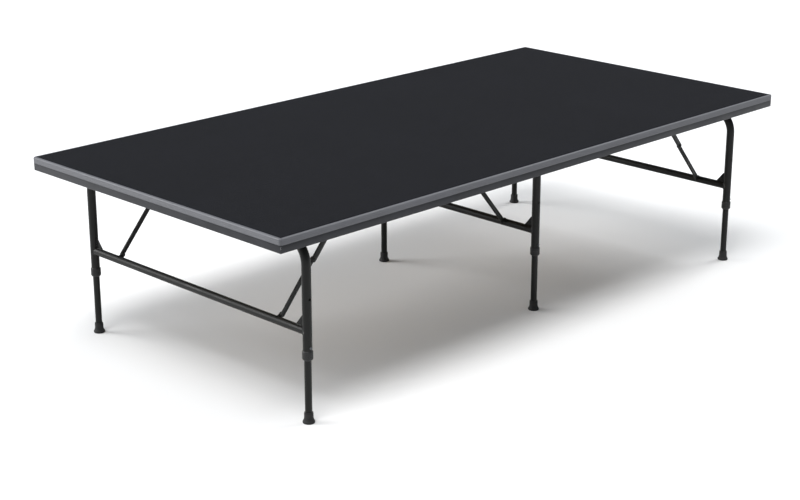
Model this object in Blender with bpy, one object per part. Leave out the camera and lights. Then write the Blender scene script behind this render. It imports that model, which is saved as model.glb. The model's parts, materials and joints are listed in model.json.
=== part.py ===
"""Folding stage riser platform: a carpeted plywood deck on three folding, telescoping leg frames.

Metres, +Z up. X runs along the deck, Y across it, and the floor under the feet is Z = 0.
Each leg frame is a bent tube that turns in saddles under the deck. Two folding braces hold it
upright, and the thinner lower legs slide up inside it to set the lower of the two heights.
"""

import bmesh
import bpy
from math import atan2, cos, degrees, hypot, pi, radians, sin
from mathutils import Matrix, Vector

# ---------------------------------------------------------------- driving dimensions
DECK_LENGTH = 2.4384
DECK_WIDTH = 1.2192
DECK_TOP = 0.635
GAP = 0.0003

CARPET_THICKNESS = 0.006
PANEL_THICKNESS = 0.019
PANEL_INSET = 0.0095
CARPET_EDGE_RADIUS = 0.002

TRIM_WIDTH = 0.009
TRIM_CORNER_RADIUS = 0.010
TRIM_TOP_DROP = 0.001
TRIM_HEIGHT = 0.0205
TRIM_NOSE_RADIUS = 0.006
TRIM_HEEL_RADIUS = 0.0025

RAIL_INSET = 0.003
RAIL_WEB = 0.003
RAIL_BOTTOM_DROP = 0.047
RAIL_TOP_FLANGE = 0.034
RAIL_BOTTOM_FLANGE = 0.020

HINGE_DROP = 0.062
UPPER_TUBE_RADIUS = 0.0143
UPPER_TUBE_WALL = 0.0016
UPPER_TUBE_END = 0.214
BEND_RADIUS = 0.075
LOWER_TUBE_RADIUS = 0.0111
LOWER_TUBE_WALL = 0.0015
LOWER_TUBE_TOP = 0.302
LEG_TRAVEL = 0.1524

BUTTON_HEIGHT = 0.242
BUTTON_RADIUS = 0.004
BUTTON_PROUD = 0.0035
CLIP_SPREAD = 0.80
CLIP_STRIP = 0.001
CLIP_WIDTH = 0.007
CLIP_BELOW_BUTTON = 0.009
CLIP_ABOVE_BUTTON = 0.034
CLIP_ARM_ABOVE_BUTTON = 0.008
CLIP_BACK_DROP = 0.003
HOLE_PLAY = 0.0004

COLLAR_RADIUS = 0.0168
COLLAR_CHAMFER = 0.0015
COLLAR_BOTTOM = 0.202
COLLAR_TOP = 0.232
FOOT_RADIUS = 0.019
FOOT_HEIGHT = 0.034
FOOT_SOLE = 0.005
FOOT_WALL = 0.0026
FOOT_LIP = 0.001
FOOT_NECK_TOP = 0.022
FOOT_NECK = 0.016
FOOT_NECK_FLARE = 0.0014
FOOT_SHOULDER = 0.008
FOOT_SHOULDER_INSET = 0.001
FOOT_EDGE = 0.0015

CROSSBAR_RADIUS = 0.0127
CROSSBAR_WALL = 0.0015
CROSSBAR_BELOW_HINGE = 0.282
GUSSET_SIDE = 0.036
GUSSET_THICKNESS = 0.003
GUSSET_TIP = 0.004
WELD_BITE = 0.002

LUG_THICKNESS = 0.004
LINK_THICKNESS = 0.005
UPPER_LINK_RADIUS = 0.0095
LOWER_LINK_RADIUS = 0.008
PIN_RADIUS = 0.005
PIN_PLAY = 0.0003
PIN_HEAD_RADIUS = 0.0075
PIN_HEAD = 0.003

# Side views of one frame use (u, v): u is the distance from the hinge axis towards the side
# the frame folds to, and v is the height above the hinge axis.
BRACE_FOOT = Vector((0.018, -0.268))
BRACE_HEAD = Vector((0.268, 0.024))

HAT_SHEET = 0.002
HINGE_CROWN = 0.037
HINGE_FLANGE = 0.058
HINGE_CROWN_V = 0.015
BRACE_RAIL_START = 0.276
BRACE_RAIL_END = 0.346
BRACE_CROWN_START = 0.291
BRACE_CROWN_END = 0.331
BRACE_CROWN_V = 0.019
RAIL_END_CLEARANCE = 0.040

SADDLE_WIDTH = 0.032
SADDLE_STRAP = 0.003
SADDLE_FOOT = 0.034

TUBE_SIDES = 20
SMALL_SIDES = 16
HOLE_SIDES = 16
CUTTER_REACH = 0.002
BEND_STEPS = 5
CORNER_STEPS = 3

# name, position along X, leg spacing from the middle, brace and saddle positions, fold direction
FRAMES = (
    ("left", -1.053, 0.529, 0.402, 0.330, 1),
    ("middle", 0.154, 0.374, 0.236, 0.160, -1),
    ("right", 1.078, 0.529, 0.402, 0.330, -1),
)
SIDES = (("near", -1), ("far", 1))

HINGE_Z = DECK_TOP - HINGE_DROP
PANEL_BOTTOM = DECK_TOP - CARPET_THICKNESS - PANEL_THICKNESS
UNDERSIDE_V = PANEL_BOTTOM - GAP - HINGE_Z
CROSSBAR_Z = HINGE_Z - CROSSBAR_BELOW_HINGE

# colour, roughness, metallic
FINISHES = {
    "carpet": ((0.028, 0.030, 0.036), 0.95, 0.0),
    "plywood": ((0.42, 0.29, 0.17), 0.65, 0.0),
    "edge_trim": ((0.20, 0.21, 0.23), 0.50, 0.0),
    "rail": ((0.075, 0.078, 0.085), 0.45, 0.3),
    "black_steel": ((0.018, 0.018, 0.017), 0.42, 0.3),
    "brace_steel": ((0.030, 0.030, 0.028), 0.45, 0.3),
    "black_plastic": ((0.012, 0.012, 0.012), 0.60, 0.0),
    "rubber": ((0.010, 0.010, 0.010), 0.80, 0.0),
    "bright_steel": ((0.60, 0.60, 0.60), 0.30, 1.0),
}


# ---------------------------------------------------------------- scene and objects
def clear_scene():
    for obj in list(bpy.data.objects):
        bpy.data.objects.remove(obj, do_unlink=True)


def make_finishes():
    for name, (colour, roughness, metallic) in FINISHES.items():
        material = bpy.data.materials.new(name)
        material.use_nodes = True
        shader = material.node_tree.nodes["Principled BSDF"]
        shader.inputs["Base Color"].default_value = (*colour, 1.0)
        shader.inputs["Roughness"].default_value = roughness
        shader.inputs["Metallic"].default_value = metallic
        material.diffuse_color = (*colour, 1.0)


def add_empty(name, location, parent=None):
    empty = bpy.data.objects.new(name, None)
    empty.empty_display_size = 0.05
    bpy.context.collection.objects.link(empty)
    if parent:
        empty.parent = parent
        location = location - parent_origin(parent)
    empty.location = location
    return empty


def parent_origin(obj):
    origin = Vector(obj.location)
    while obj.parent:
        obj = obj.parent
        origin += obj.location
    return origin


def add_object(name, bm, finish, parent=None):
    """Turns a mesh built in world space into an object whose origin is its parent's."""
    bmesh.ops.remove_doubles(bm, verts=bm.verts, dist=0.00001)
    bmesh.ops.recalc_face_normals(bm, faces=bm.faces)
    mesh = bpy.data.meshes.new(name)
    bm.to_mesh(mesh)
    bm.free()
    mesh.shade_smooth()
    mesh.set_sharp_from_angle(angle=radians(35))
    obj = bpy.data.objects.new(name, mesh)
    bpy.context.collection.objects.link(obj)
    if finish:
        mesh.materials.append(bpy.data.materials[finish])
    if parent:
        mesh.transform(Matrix.Translation(-parent_origin(parent)))
        obj.parent = parent
    return obj


def combine(base, helper_mesh, operation, name):
    """Adds a Boolean to base, with a helper that no render shows."""
    helper = add_object(f"{base.name}_{name}", helper_mesh, None)
    helper.hide_render = True
    helper.display_type = "WIRE"
    modifier = base.modifiers.new(name, "BOOLEAN")
    modifier.operation = operation
    modifier.solver = "EXACT"
    modifier.object = helper


# ---------------------------------------------------------------- shapes
def region(faces):
    """The faces with their edges, which lets an extrusion drop the faces it leaves inside."""
    return faces + list({edge for face in faces for edge in face.edges})


def extrude(bm, faces, offset):
    made = bmesh.ops.extrude_face_region(bm, geom=region(faces))["geom"]
    verts = [item for item in made if isinstance(item, bmesh.types.BMVert)]
    bmesh.ops.translate(bm, verts=verts, vec=offset)
    return [item for item in made if isinstance(item, bmesh.types.BMFace)]


def spin(bm, faces, centre, axis, angle, steps):
    made = bmesh.ops.spin(
        bm, geom=region(faces), cent=centre, axis=axis, angle=angle, steps=steps
    )["geom_last"]
    return [item for item in made if isinstance(item, bmesh.types.BMFace)]


def plate(points, offset):
    """A solid with this flat outline, as thick as offset."""
    bm = bmesh.new()
    face = bm.faces.new([bm.verts.new(point) for point in points])
    extrude(bm, [face], Vector(offset))
    return bm


def side_plate(frame_x, fold, outline, y_start, y_end):
    """A plate whose outline is in a frame's (u, v) side view."""
    points = [(frame_x + fold * u, y_start, HINGE_Z + v) for u, v in outline]
    return plate(points, (0, y_end - y_start, 0))


def box(low, high):
    points = ((low[0], low[1]), (high[0], low[1]), (high[0], high[1]), (low[0], high[1]))
    return plate([(x, y, low[2]) for x, y in points], (0, 0, high[2] - low[2]))


def rod(radius, start, end, sides=SMALL_SIDES):
    start = Vector(start)
    along = Vector(end) - start
    turn = Vector((0, 0, 1)).rotation_difference(along).to_matrix().to_4x4()
    bm = bmesh.new()
    bmesh.ops.create_circle(
        bm, cap_ends=True, radius=radius, segments=sides, matrix=Matrix.Translation(start) @ turn
    )
    extrude(bm, bm.faces[:], along)
    return bm


def ring_face(bm, outer, inner, centre, sides):
    """A flat ring around Z, ready to be extruded into a tube."""
    for radius in (outer, inner):
        bmesh.ops.create_circle(
            bm, radius=radius, segments=sides, matrix=Matrix.Translation(centre)
        )
    return bmesh.ops.bridge_loops(bm, edges=bm.edges[:])["faces"]


def tube(outer, inner, start, length, sides=TUBE_SIDES):
    """A straight tube, open at both ends, that rises from start."""
    bm = bmesh.new()
    faces = ring_face(bm, outer, inner, start, sides)
    extrude(bm, faces, Vector((0, 0, length)))
    return bm


def turned(profile, centre, sides=TUBE_SIDES):
    """A closed ring turned about the vertical through centre from (radius, height) points."""
    bm = bmesh.new()
    verts = [bm.verts.new((centre[0] + radius, centre[1], height)) for radius, height in profile]
    edges = [bm.edges.new((verts[i - 1], verts[i])) for i in range(len(verts))]
    bmesh.ops.spin(
        bm,
        geom=verts + edges,
        cent=(centre[0], centre[1], 0),
        axis=(0, 0, 1),
        angle=2 * pi,
        steps=sides,
        use_merge=True,
    )
    return bm


def arc(centre, radius, start, end, steps):
    """Points on an arc in a plane, with both angles in degrees."""
    angles = [radians(start + (end - start) * i / steps) for i in range(steps + 1)]
    return [(centre[0] + radius * cos(a), centre[1] + radius * sin(a)) for a in angles]


def bar_outline(start, end, radius, steps=8):
    """A flat bar with round ends, drawn around its two pivot points."""
    heading = degrees(atan2(end[1] - start[1], end[0] - start[0]))
    outline = arc(start, radius, heading + 90, heading + 270, steps)
    return outline + arc(end, radius, heading - 90, heading + 90, steps)


def tangent_outline(centre_a, radius_a, centre_b, radius_b, steps=8):
    """The outline of a belt around two circles."""
    run = Vector(centre_b) - Vector(centre_a)
    heading = degrees(atan2(run.y, run.x))
    lean = degrees(atan2(radius_a - radius_b, hypot(run.x, run.y)))
    outline = arc(centre_a, radius_a, heading + 90 - lean, heading + 270 + lean, steps)
    return outline + arc(centre_b, radius_b, heading - 90 + lean, heading + 90 - lean, steps)


# ---------------------------------------------------------------- deck
def make_panel(deck):
    half = Vector((DECK_LENGTH / 2 - PANEL_INSET, DECK_WIDTH / 2 - PANEL_INSET))
    top = DECK_TOP - CARPET_THICKNESS - GAP
    panel = box((-half.x, -half.y, PANEL_BOTTOM), (half.x, half.y, top))
    add_object("deck_panel", panel, "plywood", deck)


def make_carpet(deck):
    half = Vector((DECK_LENGTH / 2 - PANEL_INSET, DECK_WIDTH / 2 - PANEL_INSET))
    low = DECK_TOP - CARPET_THICKNESS
    bm = box((-half.x, -half.y, low), (half.x, half.y, DECK_TOP))
    rim = [e for e in bm.edges if min(v.co.z for v in e.verts) > DECK_TOP - GAP]
    bmesh.ops.bevel(
        bm, geom=rim, offset=CARPET_EDGE_RADIUS, segments=3, profile=0.5, affect="EDGES"
    )
    add_object("deck_carpet", bm, "carpet", deck)


def trim_profile():
    """(inward, height) points of the edge trim: a rounded nose and a softer heel."""
    top = DECK_TOP - TRIM_TOP_DROP
    bottom = top - TRIM_HEIGHT
    nose = arc((TRIM_NOSE_RADIUS, top - TRIM_NOSE_RADIUS), TRIM_NOSE_RADIUS, 90, 180, 5)
    heel = arc((TRIM_HEEL_RADIUS, bottom + TRIM_HEEL_RADIUS), TRIM_HEEL_RADIUS, 180, 270, 3)
    return [(TRIM_WIDTH, bottom), (TRIM_WIDTH, top)] + nose + heel


def make_trim(deck, name, length, offset, turn):
    """One mitred strip. It is swept along X at the -Y edge and then turned to its own edge."""
    straight = length - 2 * TRIM_CORNER_RADIUS - 2 * GAP
    inner = -offset + TRIM_CORNER_RADIUS
    starts = Vector((-straight / 2, inner, 0))
    ends = Vector((straight / 2, inner, 0))
    bm = bmesh.new()
    points = [(starts.x, -offset + inward, height) for inward, height in trim_profile()]
    face = bm.faces.new([bm.verts.new(point) for point in points])
    bmesh.ops.rotate(
        bm, verts=bm.verts, cent=starts, matrix=Matrix.Rotation(radians(-45), 3, "Z")
    )
    faces = spin(bm, [face], starts, (0, 0, 1), radians(45), CORNER_STEPS)
    faces = extrude(bm, faces, Vector((straight, 0, 0)))
    spin(bm, faces, ends, (0, 0, 1), radians(45), CORNER_STEPS)
    bm.transform(Matrix.Rotation(radians(turn), 4, "Z"))
    add_object(f"edge_trim_{name}", bm, "edge_trim", deck)


def rail_profile():
    """(inward, height) points of the channel that frames the deck, open towards the inside."""
    web_top = DECK_TOP - TRIM_TOP_DROP - TRIM_HEIGHT - GAP
    shelf = PANEL_BOTTOM - GAP
    bottom = DECK_TOP - RAIL_BOTTOM_DROP
    return (
        (0, web_top),
        (0, bottom),
        (RAIL_BOTTOM_FLANGE, bottom),
        (RAIL_BOTTOM_FLANGE, bottom + RAIL_WEB),
        (RAIL_WEB, bottom + RAIL_WEB),
        (RAIL_WEB, shelf - RAIL_WEB),
        (RAIL_TOP_FLANGE, shelf - RAIL_WEB),
        (RAIL_TOP_FLANGE, shelf),
        (RAIL_WEB, shelf),
        (RAIL_WEB, web_top),
    )


def make_rail(deck, name, length, offset, turn):
    """One channel with mitred ends, made along X at the -Y edge and turned to its own edge."""
    half = length / 2 - RAIL_INSET - GAP
    edge = offset - RAIL_INSET
    points = [(-half + inward, -edge + inward, height) for inward, height in rail_profile()]
    bm = bmesh.new()
    face = bm.faces.new([bm.verts.new(point) for point in points])
    extrude(bm, [face], Vector((2 * half, 0, 0)))
    for vert in bm.verts:
        if vert.co.x > 0:
            vert.co.x = half - (vert.co.y + edge)
    bm.transform(Matrix.Rotation(radians(turn), 4, "Z"))
    add_object(f"deck_rail_{name}", bm, "rail", deck)


def make_edges(deck):
    edges = (
        ("near", DECK_LENGTH, DECK_WIDTH / 2, 0),
        ("right", DECK_WIDTH, DECK_LENGTH / 2, 90),
        ("far", DECK_LENGTH, DECK_WIDTH / 2, 180),
        ("left", DECK_WIDTH, DECK_LENGTH / 2, 270),
    )
    for name, length, offset, turn in edges:
        make_trim(deck, name, length, offset, turn)
        make_rail(deck, name, length, offset, turn)


# ---------------------------------------------------------------- rails under the deck
def hat_outline(start, crown_start, crown_end, end, crown_v):
    """A hat section: two flanges against the panel and a crown that hangs below it."""
    top = UNDERSIDE_V
    sheet = HAT_SHEET
    return (
        (start, top),
        (start, top - sheet),
        (crown_start, top - sheet),
        (crown_start, crown_v),
        (crown_end, crown_v),
        (crown_end, top - sheet),
        (end, top - sheet),
        (end, top),
        (crown_end - sheet, top),
        (crown_end - sheet, crown_v + sheet),
        (crown_start + sheet, crown_v + sheet),
        (crown_start + sheet, top),
    )


def saddle_outline():
    """A strap around the lower half of the tube, with flat feet against the crown."""
    inner = UPPER_TUBE_RADIUS + GAP
    outer = inner + SADDLE_STRAP
    seat = HINGE_CROWN_V - SADDLE_STRAP
    roof = HINGE_CROWN_V + HAT_SHEET / 4
    outline = [(-SADDLE_FOOT, roof), (-SADDLE_FOOT, seat), (-outer, seat)]
    outline += arc((0, 0), outer, 180, 360, 12)
    outline += [(outer, seat), (SADDLE_FOOT, seat), (SADDLE_FOOT, roof), (inner, roof)]
    outline += arc((0, 0), inner, 360, 180, 12)
    outline += [(-inner, roof)]
    return outline


def make_hinge_rail(deck, name, x, fold, saddle_y):
    half = DECK_WIDTH / 2 - RAIL_END_CLEARANCE
    outline = hat_outline(
        -HINGE_FLANGE, -HINGE_CROWN, HINGE_CROWN, HINGE_FLANGE, HINGE_CROWN_V
    )
    rail = add_object(
        f"hinge_rail_{name}", side_plate(x, fold, outline, -half, half), "black_steel", deck
    )
    for side, sign in SIDES:
        middle = sign * saddle_y
        strap = side_plate(
            x, fold, saddle_outline(), middle - SADDLE_WIDTH / 2, middle + SADDLE_WIDTH / 2
        )
        combine(rail, strap, "UNION", f"saddle_{side}")


def stack_span(brace_y, sign, layer):
    """The Y range of one layer of the brace: 0 crossbar lug, 1 lower link, 2 upper link, 3 rail lug."""
    edges = (
        (-LINK_THICKNESS - 1.5 * GAP - LUG_THICKNESS, -LINK_THICKNESS - 1.5 * GAP),
        (-LINK_THICKNESS - 0.5 * GAP, -0.5 * GAP),
        (0.5 * GAP, LINK_THICKNESS + 0.5 * GAP),
        (LINK_THICKNESS + 1.5 * GAP, LINK_THICKNESS + 1.5 * GAP + LUG_THICKNESS),
    )
    low, high = edges[layer]
    return sign * (brace_y + low), sign * (brace_y + high)


def make_brace_rail(deck, name, x, fold, brace_y):
    half = DECK_WIDTH / 2 - RAIL_END_CLEARANCE
    outline = hat_outline(
        BRACE_RAIL_START, BRACE_CROWN_START, BRACE_CROWN_END, BRACE_RAIL_END, BRACE_CROWN_V
    )
    rail = add_object(
        f"brace_rail_{name}", side_plate(x, fold, outline, -half, half), "black_steel", deck
    )
    overlap = BRACE_CROWN_START + HAT_SHEET / 2
    roof = UNDERSIDE_V - HAT_SHEET / 2
    lug = [(overlap, BRACE_CROWN_V + GAP), (overlap, roof), (BRACE_HEAD.x, roof)]
    lug += arc(BRACE_HEAD, UPPER_LINK_RADIUS, 90, 270, 8)
    for side, sign in SIDES:
        start, end = stack_span(brace_y, sign, 3)
        inner = sign * (brace_y + GAP)
        head = end + sign * PIN_HEAD
        at = (x + fold * BRACE_HEAD.x, HINGE_Z + BRACE_HEAD.y)
        combine(rail, side_plate(x, fold, lug, start, end), "UNION", f"lug_{side}")
        pin = rod(PIN_RADIUS, (at[0], inner, at[1]), (at[0], end + sign * GAP, at[1]))
        combine(rail, pin, "UNION", f"pin_{side}")
        cap = rod(PIN_HEAD_RADIUS, (at[0], end - sign * GAP, at[1]), (at[0], head, at[1]))
        combine(rail, cap, "UNION", f"pin_head_{side}")


# ---------------------------------------------------------------- leg frames
def make_leg_tube(hinge, name, x, leg_y):
    """One tube bent into an upside-down U, with two lock holes in each leg."""
    inner = UPPER_TUBE_RADIUS - UPPER_TUBE_WALL
    bend_z = HINGE_Z - BEND_RADIUS
    bend_y = leg_y - BEND_RADIUS
    bm = bmesh.new()
    faces = ring_face(bm, UPPER_TUBE_RADIUS, inner, (x, -leg_y, UPPER_TUBE_END), TUBE_SIDES)
    faces = extrude(bm, faces, Vector((0, 0, bend_z - UPPER_TUBE_END)))
    faces = spin(bm, faces, (x, -bend_y, bend_z), (1, 0, 0), radians(-90), BEND_STEPS)
    faces = extrude(bm, faces, Vector((0, 2 * bend_y, 0)))
    faces = spin(bm, faces, (x, bend_y, bend_z), (1, 0, 0), radians(-90), BEND_STEPS)
    extrude(bm, faces, Vector((0, 0, UPPER_TUBE_END - bend_z)))
    frame = add_object(f"leg_tube_{name}", bm, "black_steel", hinge)
    radius = BUTTON_RADIUS + HOLE_PLAY
    for side, sign in SIDES:
        for position, height in (("low", BUTTON_HEIGHT), ("high", BUTTON_HEIGHT + LEG_TRAVEL)):
            start = (x, sign * leg_y, height)
            end = (x, sign * (leg_y + 2 * UPPER_TUBE_RADIUS), height)
            hole = rod(radius, start, end, HOLE_SIDES)
            combine(frame, hole, "DIFFERENCE", f"hole_{side}_{position}")


def make_crossbar(hinge, name, x, leg_y, brace_y, fold):
    """The bar between the legs, coped to fit them, with gussets and the lower brace lugs."""
    inner = CROSSBAR_RADIUS - CROSSBAR_WALL
    bm = tube(CROSSBAR_RADIUS, inner, (0, 0, -leg_y), 2 * leg_y, SMALL_SIDES)
    bm.transform(
        Matrix.Translation((x, 0, CROSSBAR_Z)) @ Matrix.Rotation(radians(-90), 4, "X")
    )
    bar = add_object(f"crossbar_{name}", bm, "black_steel", hinge)
    centre = Vector((0, -CROSSBAR_BELOW_HINGE))
    lug = tangent_outline(BRACE_FOOT, LOWER_LINK_RADIUS, centre, CROSSBAR_RADIUS - WELD_BITE)
    foot = (x + fold * BRACE_FOOT.x, HINGE_Z + BRACE_FOOT.y)
    for side, sign in SIDES:
        start, end = stack_span(brace_y, sign, 0)
        combine(bar, side_plate(x, fold, lug, start, end), "UNION", f"lug_{side}")
        head = start - sign * PIN_HEAD
        tip = sign * (brace_y - GAP)
        pin = rod(PIN_RADIUS, (foot[0], start - sign * GAP, foot[1]), (foot[0], tip, foot[1]))
        combine(bar, pin, "UNION", f"pin_{side}")
        cap = rod(PIN_HEAD_RADIUS, (foot[0], head, foot[1]), (foot[0], start + sign * GAP, foot[1]))
        combine(bar, cap, "UNION", f"pin_head_{side}")
        low = CROSSBAR_Z + CROSSBAR_RADIUS - WELD_BITE
        high = low + GUSSET_SIDE
        face = x - GUSSET_THICKNESS / 2
        leg_face = leg_y - UPPER_TUBE_RADIUS
        points = (
            (face, sign * leg_y, low),
            (face, sign * leg_y, high),
            (face, sign * (leg_face - GUSSET_TIP), high),
            (face, sign * (leg_face - GUSSET_SIDE), low),
        )
        combine(bar, plate(points, (GUSSET_THICKNESS, 0, 0)), "UNION", f"gusset_{side}")
        cope = rod(
            UPPER_TUBE_RADIUS + GAP,
            (x, sign * leg_y, UPPER_TUBE_END),
            (x, sign * leg_y, HINGE_Z),
            TUBE_SIDES,
        )
        combine(bar, cope, "DIFFERENCE", f"cope_{side}")


def make_collar(hinge, name, x, y):
    """The moulded bush at the upper tube's end, with a lip that guides the lower leg."""
    bore = LOWER_TUBE_RADIUS + GAP
    socket = UPPER_TUBE_RADIUS + GAP
    profile = (
        (bore, COLLAR_BOTTOM),
        (COLLAR_RADIUS - 2 * COLLAR_CHAMFER, COLLAR_BOTTOM),
        (COLLAR_RADIUS, COLLAR_BOTTOM + 2 * COLLAR_CHAMFER),
        (COLLAR_RADIUS, COLLAR_TOP - COLLAR_CHAMFER),
        (COLLAR_RADIUS - COLLAR_CHAMFER, COLLAR_TOP),
        (socket, COLLAR_TOP),
        (socket, UPPER_TUBE_END - GAP),
        (bore, UPPER_TUBE_END - GAP),
    )
    add_object(f"collar_{name}", turned(profile, (x, y)), "black_plastic", hinge)


def make_inner_leg(slide, name, x, y, sign):
    inner = LOWER_TUBE_RADIUS - LOWER_TUBE_WALL
    bottom = FOOT_SOLE + GAP
    bm = tube(LOWER_TUBE_RADIUS, inner, (x, y, bottom), LOWER_TUBE_TOP - bottom, SMALL_SIDES)
    leg = add_object(f"inner_leg_{name}", bm, "black_steel", slide)
    start = (x, y, BUTTON_HEIGHT)
    end = (x, y + sign * 2 * LOWER_TUBE_RADIUS, BUTTON_HEIGHT)
    hole = rod(BUTTON_RADIUS + HOLE_PLAY, start, end, HOLE_SIDES)
    combine(leg, hole, "DIFFERENCE", "button_hole")


def make_foot(slide, name, x, y):
    """A rubber ferrule over the lower leg's end, flared to a flat sole."""
    socket = LOWER_TUBE_RADIUS + GAP
    sleeve = socket + FOOT_WALL
    bm = bmesh.new()
    profile = (
        (socket, FOOT_SOLE),
        (socket, FOOT_HEIGHT),
        (sleeve - FOOT_LIP, FOOT_HEIGHT),
        (sleeve, FOOT_HEIGHT - FOOT_LIP),
        (sleeve, FOOT_NECK_TOP),
        (sleeve + FOOT_NECK_FLARE, FOOT_NECK),
        (FOOT_RADIUS - FOOT_SHOULDER_INSET, FOOT_SHOULDER),
        (FOOT_RADIUS, FOOT_SOLE),
        (FOOT_RADIUS, FOOT_EDGE),
        (FOOT_RADIUS - FOOT_EDGE, 0),
    )
    verts = [bm.verts.new((x + radius, y, height)) for radius, height in profile]
    edges = [bm.edges.new(pair) for pair in zip(verts, verts[1:])]
    bmesh.ops.spin(
        bm,
        geom=verts + edges,
        cent=(x, y, 0),
        axis=(0, 0, 1),
        angle=2 * pi,
        steps=TUBE_SIDES,
        use_merge=True,
    )
    bmesh.ops.holes_fill(bm, edges=bm.edges, sides=TUBE_SIDES)
    add_object(f"foot_{name}", bm, "rubber", slide)


def make_snap_clip(button, name, x, y, sign):
    """A spring strip folded into a V inside the lower leg, with the lock button on one arm."""
    wall = LOWER_TUBE_RADIUS - LOWER_TUBE_WALL
    reach = wall * CLIP_SPREAD
    strip = CLIP_STRIP
    low = BUTTON_HEIGHT - CLIP_BELOW_BUTTON
    high = BUTTON_HEIGHT + CLIP_ABOVE_BUTTON
    arm_top = BUTTON_HEIGHT + CLIP_ARM_ABOVE_BUTTON
    back_top = high - CLIP_BACK_DROP
    back = -reach
    front = reach - strip
    outline = (
        (front, low),
        (front, arm_top),
        (back / 2, high),
        (back, back_top),
        (back, low),
        (back + strip, low),
        (back + strip, back_top - strip),
        (back / 2, high - 2 * strip),
        (front - strip, arm_top - strip),
        (front - strip, low),
    )
    points = [(x - CLIP_WIDTH / 2, y + sign * across, height) for across, height in outline]
    spring = plate(points, (CLIP_WIDTH, 0, 0))
    clip = add_object(f"snap_clip_{name}", spring, "bright_steel", button)
    start = (x, y + sign * (front - strip / 2), BUTTON_HEIGHT)
    end = (x, y + sign * (UPPER_TUBE_RADIUS + BUTTON_PROUD), BUTTON_HEIGHT)
    combine(clip, rod(BUTTON_RADIUS, start, end, 16), "UNION", "button")


# ---------------------------------------------------------------- folding braces
def knee_point():
    return (BRACE_FOOT + BRACE_HEAD) / 2


def make_link(pivot, name, x, fold, span, ends, radius, bore_at):
    """A flat bar between two pivots, bored to turn on the pin at bore_at."""
    bm = side_plate(x, fold, bar_outline(ends[0], ends[1], radius), *span)
    link = add_object(name, bm, "brace_steel", pivot)
    at = (x + fold * bore_at.x, HINGE_Z + bore_at.y)
    low = (at[0], min(span) - CUTTER_REACH, at[1])
    high = (at[0], max(span) + CUTTER_REACH, at[1])
    bore = rod(PIN_RADIUS + PIN_PLAY, low, high)
    combine(link, bore, "DIFFERENCE", "bore")


def make_braces(deck, hinge, name, x, fold, brace_y):
    knee = knee_point()
    foot = Vector((x + fold * BRACE_FOOT.x, 0, HINGE_Z + BRACE_FOOT.y))
    head = Vector((x + fold * BRACE_HEAD.x, 0, HINGE_Z + BRACE_HEAD.y))
    foot_pivot = add_empty(f"brace_foot_pivot_{name}", foot, hinge)
    head_pivot = add_empty(f"brace_head_pivot_{name}", head, deck)
    for side, sign in SIDES:
        make_link(
            foot_pivot,
            f"brace_lower_{name}_{side}",
            x,
            fold,
            stack_span(brace_y, sign, 1),
            (BRACE_FOOT, knee),
            LOWER_LINK_RADIUS,
            BRACE_FOOT,
        )
        make_link(
            head_pivot,
            f"brace_upper_{name}_{side}",
            x,
            fold,
            stack_span(brace_y, sign, 2),
            (BRACE_HEAD, knee),
            UPPER_LINK_RADIUS,
            BRACE_HEAD,
        )


# ---------------------------------------------------------------- assembly
def make_frame(deck, name, x, leg_y, brace_y, saddle_y, fold):
    hinge = add_empty(f"fold_axis_{name}", Vector((x, 0, HINGE_Z)), deck)
    make_hinge_rail(deck, name, x, fold, saddle_y)
    make_brace_rail(deck, name, x, fold, brace_y)
    make_leg_tube(hinge, name, x, leg_y)
    make_crossbar(hinge, name, x, leg_y, brace_y, fold)
    make_braces(deck, hinge, name, x, fold, brace_y)
    for side, sign in SIDES:
        y = sign * leg_y
        label = f"{name}_{side}"
        make_collar(hinge, label, x, y)
        slide = add_empty(f"leg_slide_{label}", Vector((x, y, UPPER_TUBE_END)), hinge)
        button_at = Vector((x, y, BUTTON_HEIGHT))
        button = add_empty(f"button_axis_{label}", button_at, slide)
        make_inner_leg(slide, label, x, y, sign)
        make_foot(slide, label, x, y)
        make_snap_clip(button, label, x, y, sign)


def main():
    clear_scene()
    make_finishes()
    deck = add_empty("deck", Vector((0, 0, 0)))
    make_panel(deck)
    make_carpet(deck)
    make_edges(deck)
    for frame in FRAMES:
        make_frame(deck, *frame)


main()
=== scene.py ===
"""Finished look of a folding stage riser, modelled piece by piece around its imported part.

Metres, +Z up. X runs along the deck and Y across it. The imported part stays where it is, and every
piece takes its place from the part's own boxes and joints and rides on one of its bodies.
"""

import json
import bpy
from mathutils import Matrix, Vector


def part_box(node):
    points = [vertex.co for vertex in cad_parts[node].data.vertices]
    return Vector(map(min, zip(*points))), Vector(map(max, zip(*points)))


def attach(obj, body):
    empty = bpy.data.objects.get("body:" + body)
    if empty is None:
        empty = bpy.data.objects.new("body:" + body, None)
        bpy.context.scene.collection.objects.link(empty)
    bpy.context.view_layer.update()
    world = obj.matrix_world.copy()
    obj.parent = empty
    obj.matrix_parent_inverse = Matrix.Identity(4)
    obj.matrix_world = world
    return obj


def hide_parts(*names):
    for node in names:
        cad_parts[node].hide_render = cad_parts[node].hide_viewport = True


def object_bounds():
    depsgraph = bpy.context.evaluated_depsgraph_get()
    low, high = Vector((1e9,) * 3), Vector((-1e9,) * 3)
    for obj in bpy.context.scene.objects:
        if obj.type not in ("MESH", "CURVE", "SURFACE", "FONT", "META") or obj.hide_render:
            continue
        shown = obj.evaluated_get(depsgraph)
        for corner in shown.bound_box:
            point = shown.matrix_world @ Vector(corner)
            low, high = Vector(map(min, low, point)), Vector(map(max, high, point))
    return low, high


bl_info = {
    "name": "Stage Riser Looks",
    "version": (1, 0, 0),
    "blender": (4, 5, 0),
    "location": "View3D > Sidebar > Riser",
    "description": "Models the finished pieces of a folding stage riser around its packed part",
    "category": "Object",
}

from contextlib import contextmanager
from math import cos, pi, radians, sin, sqrt

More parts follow.
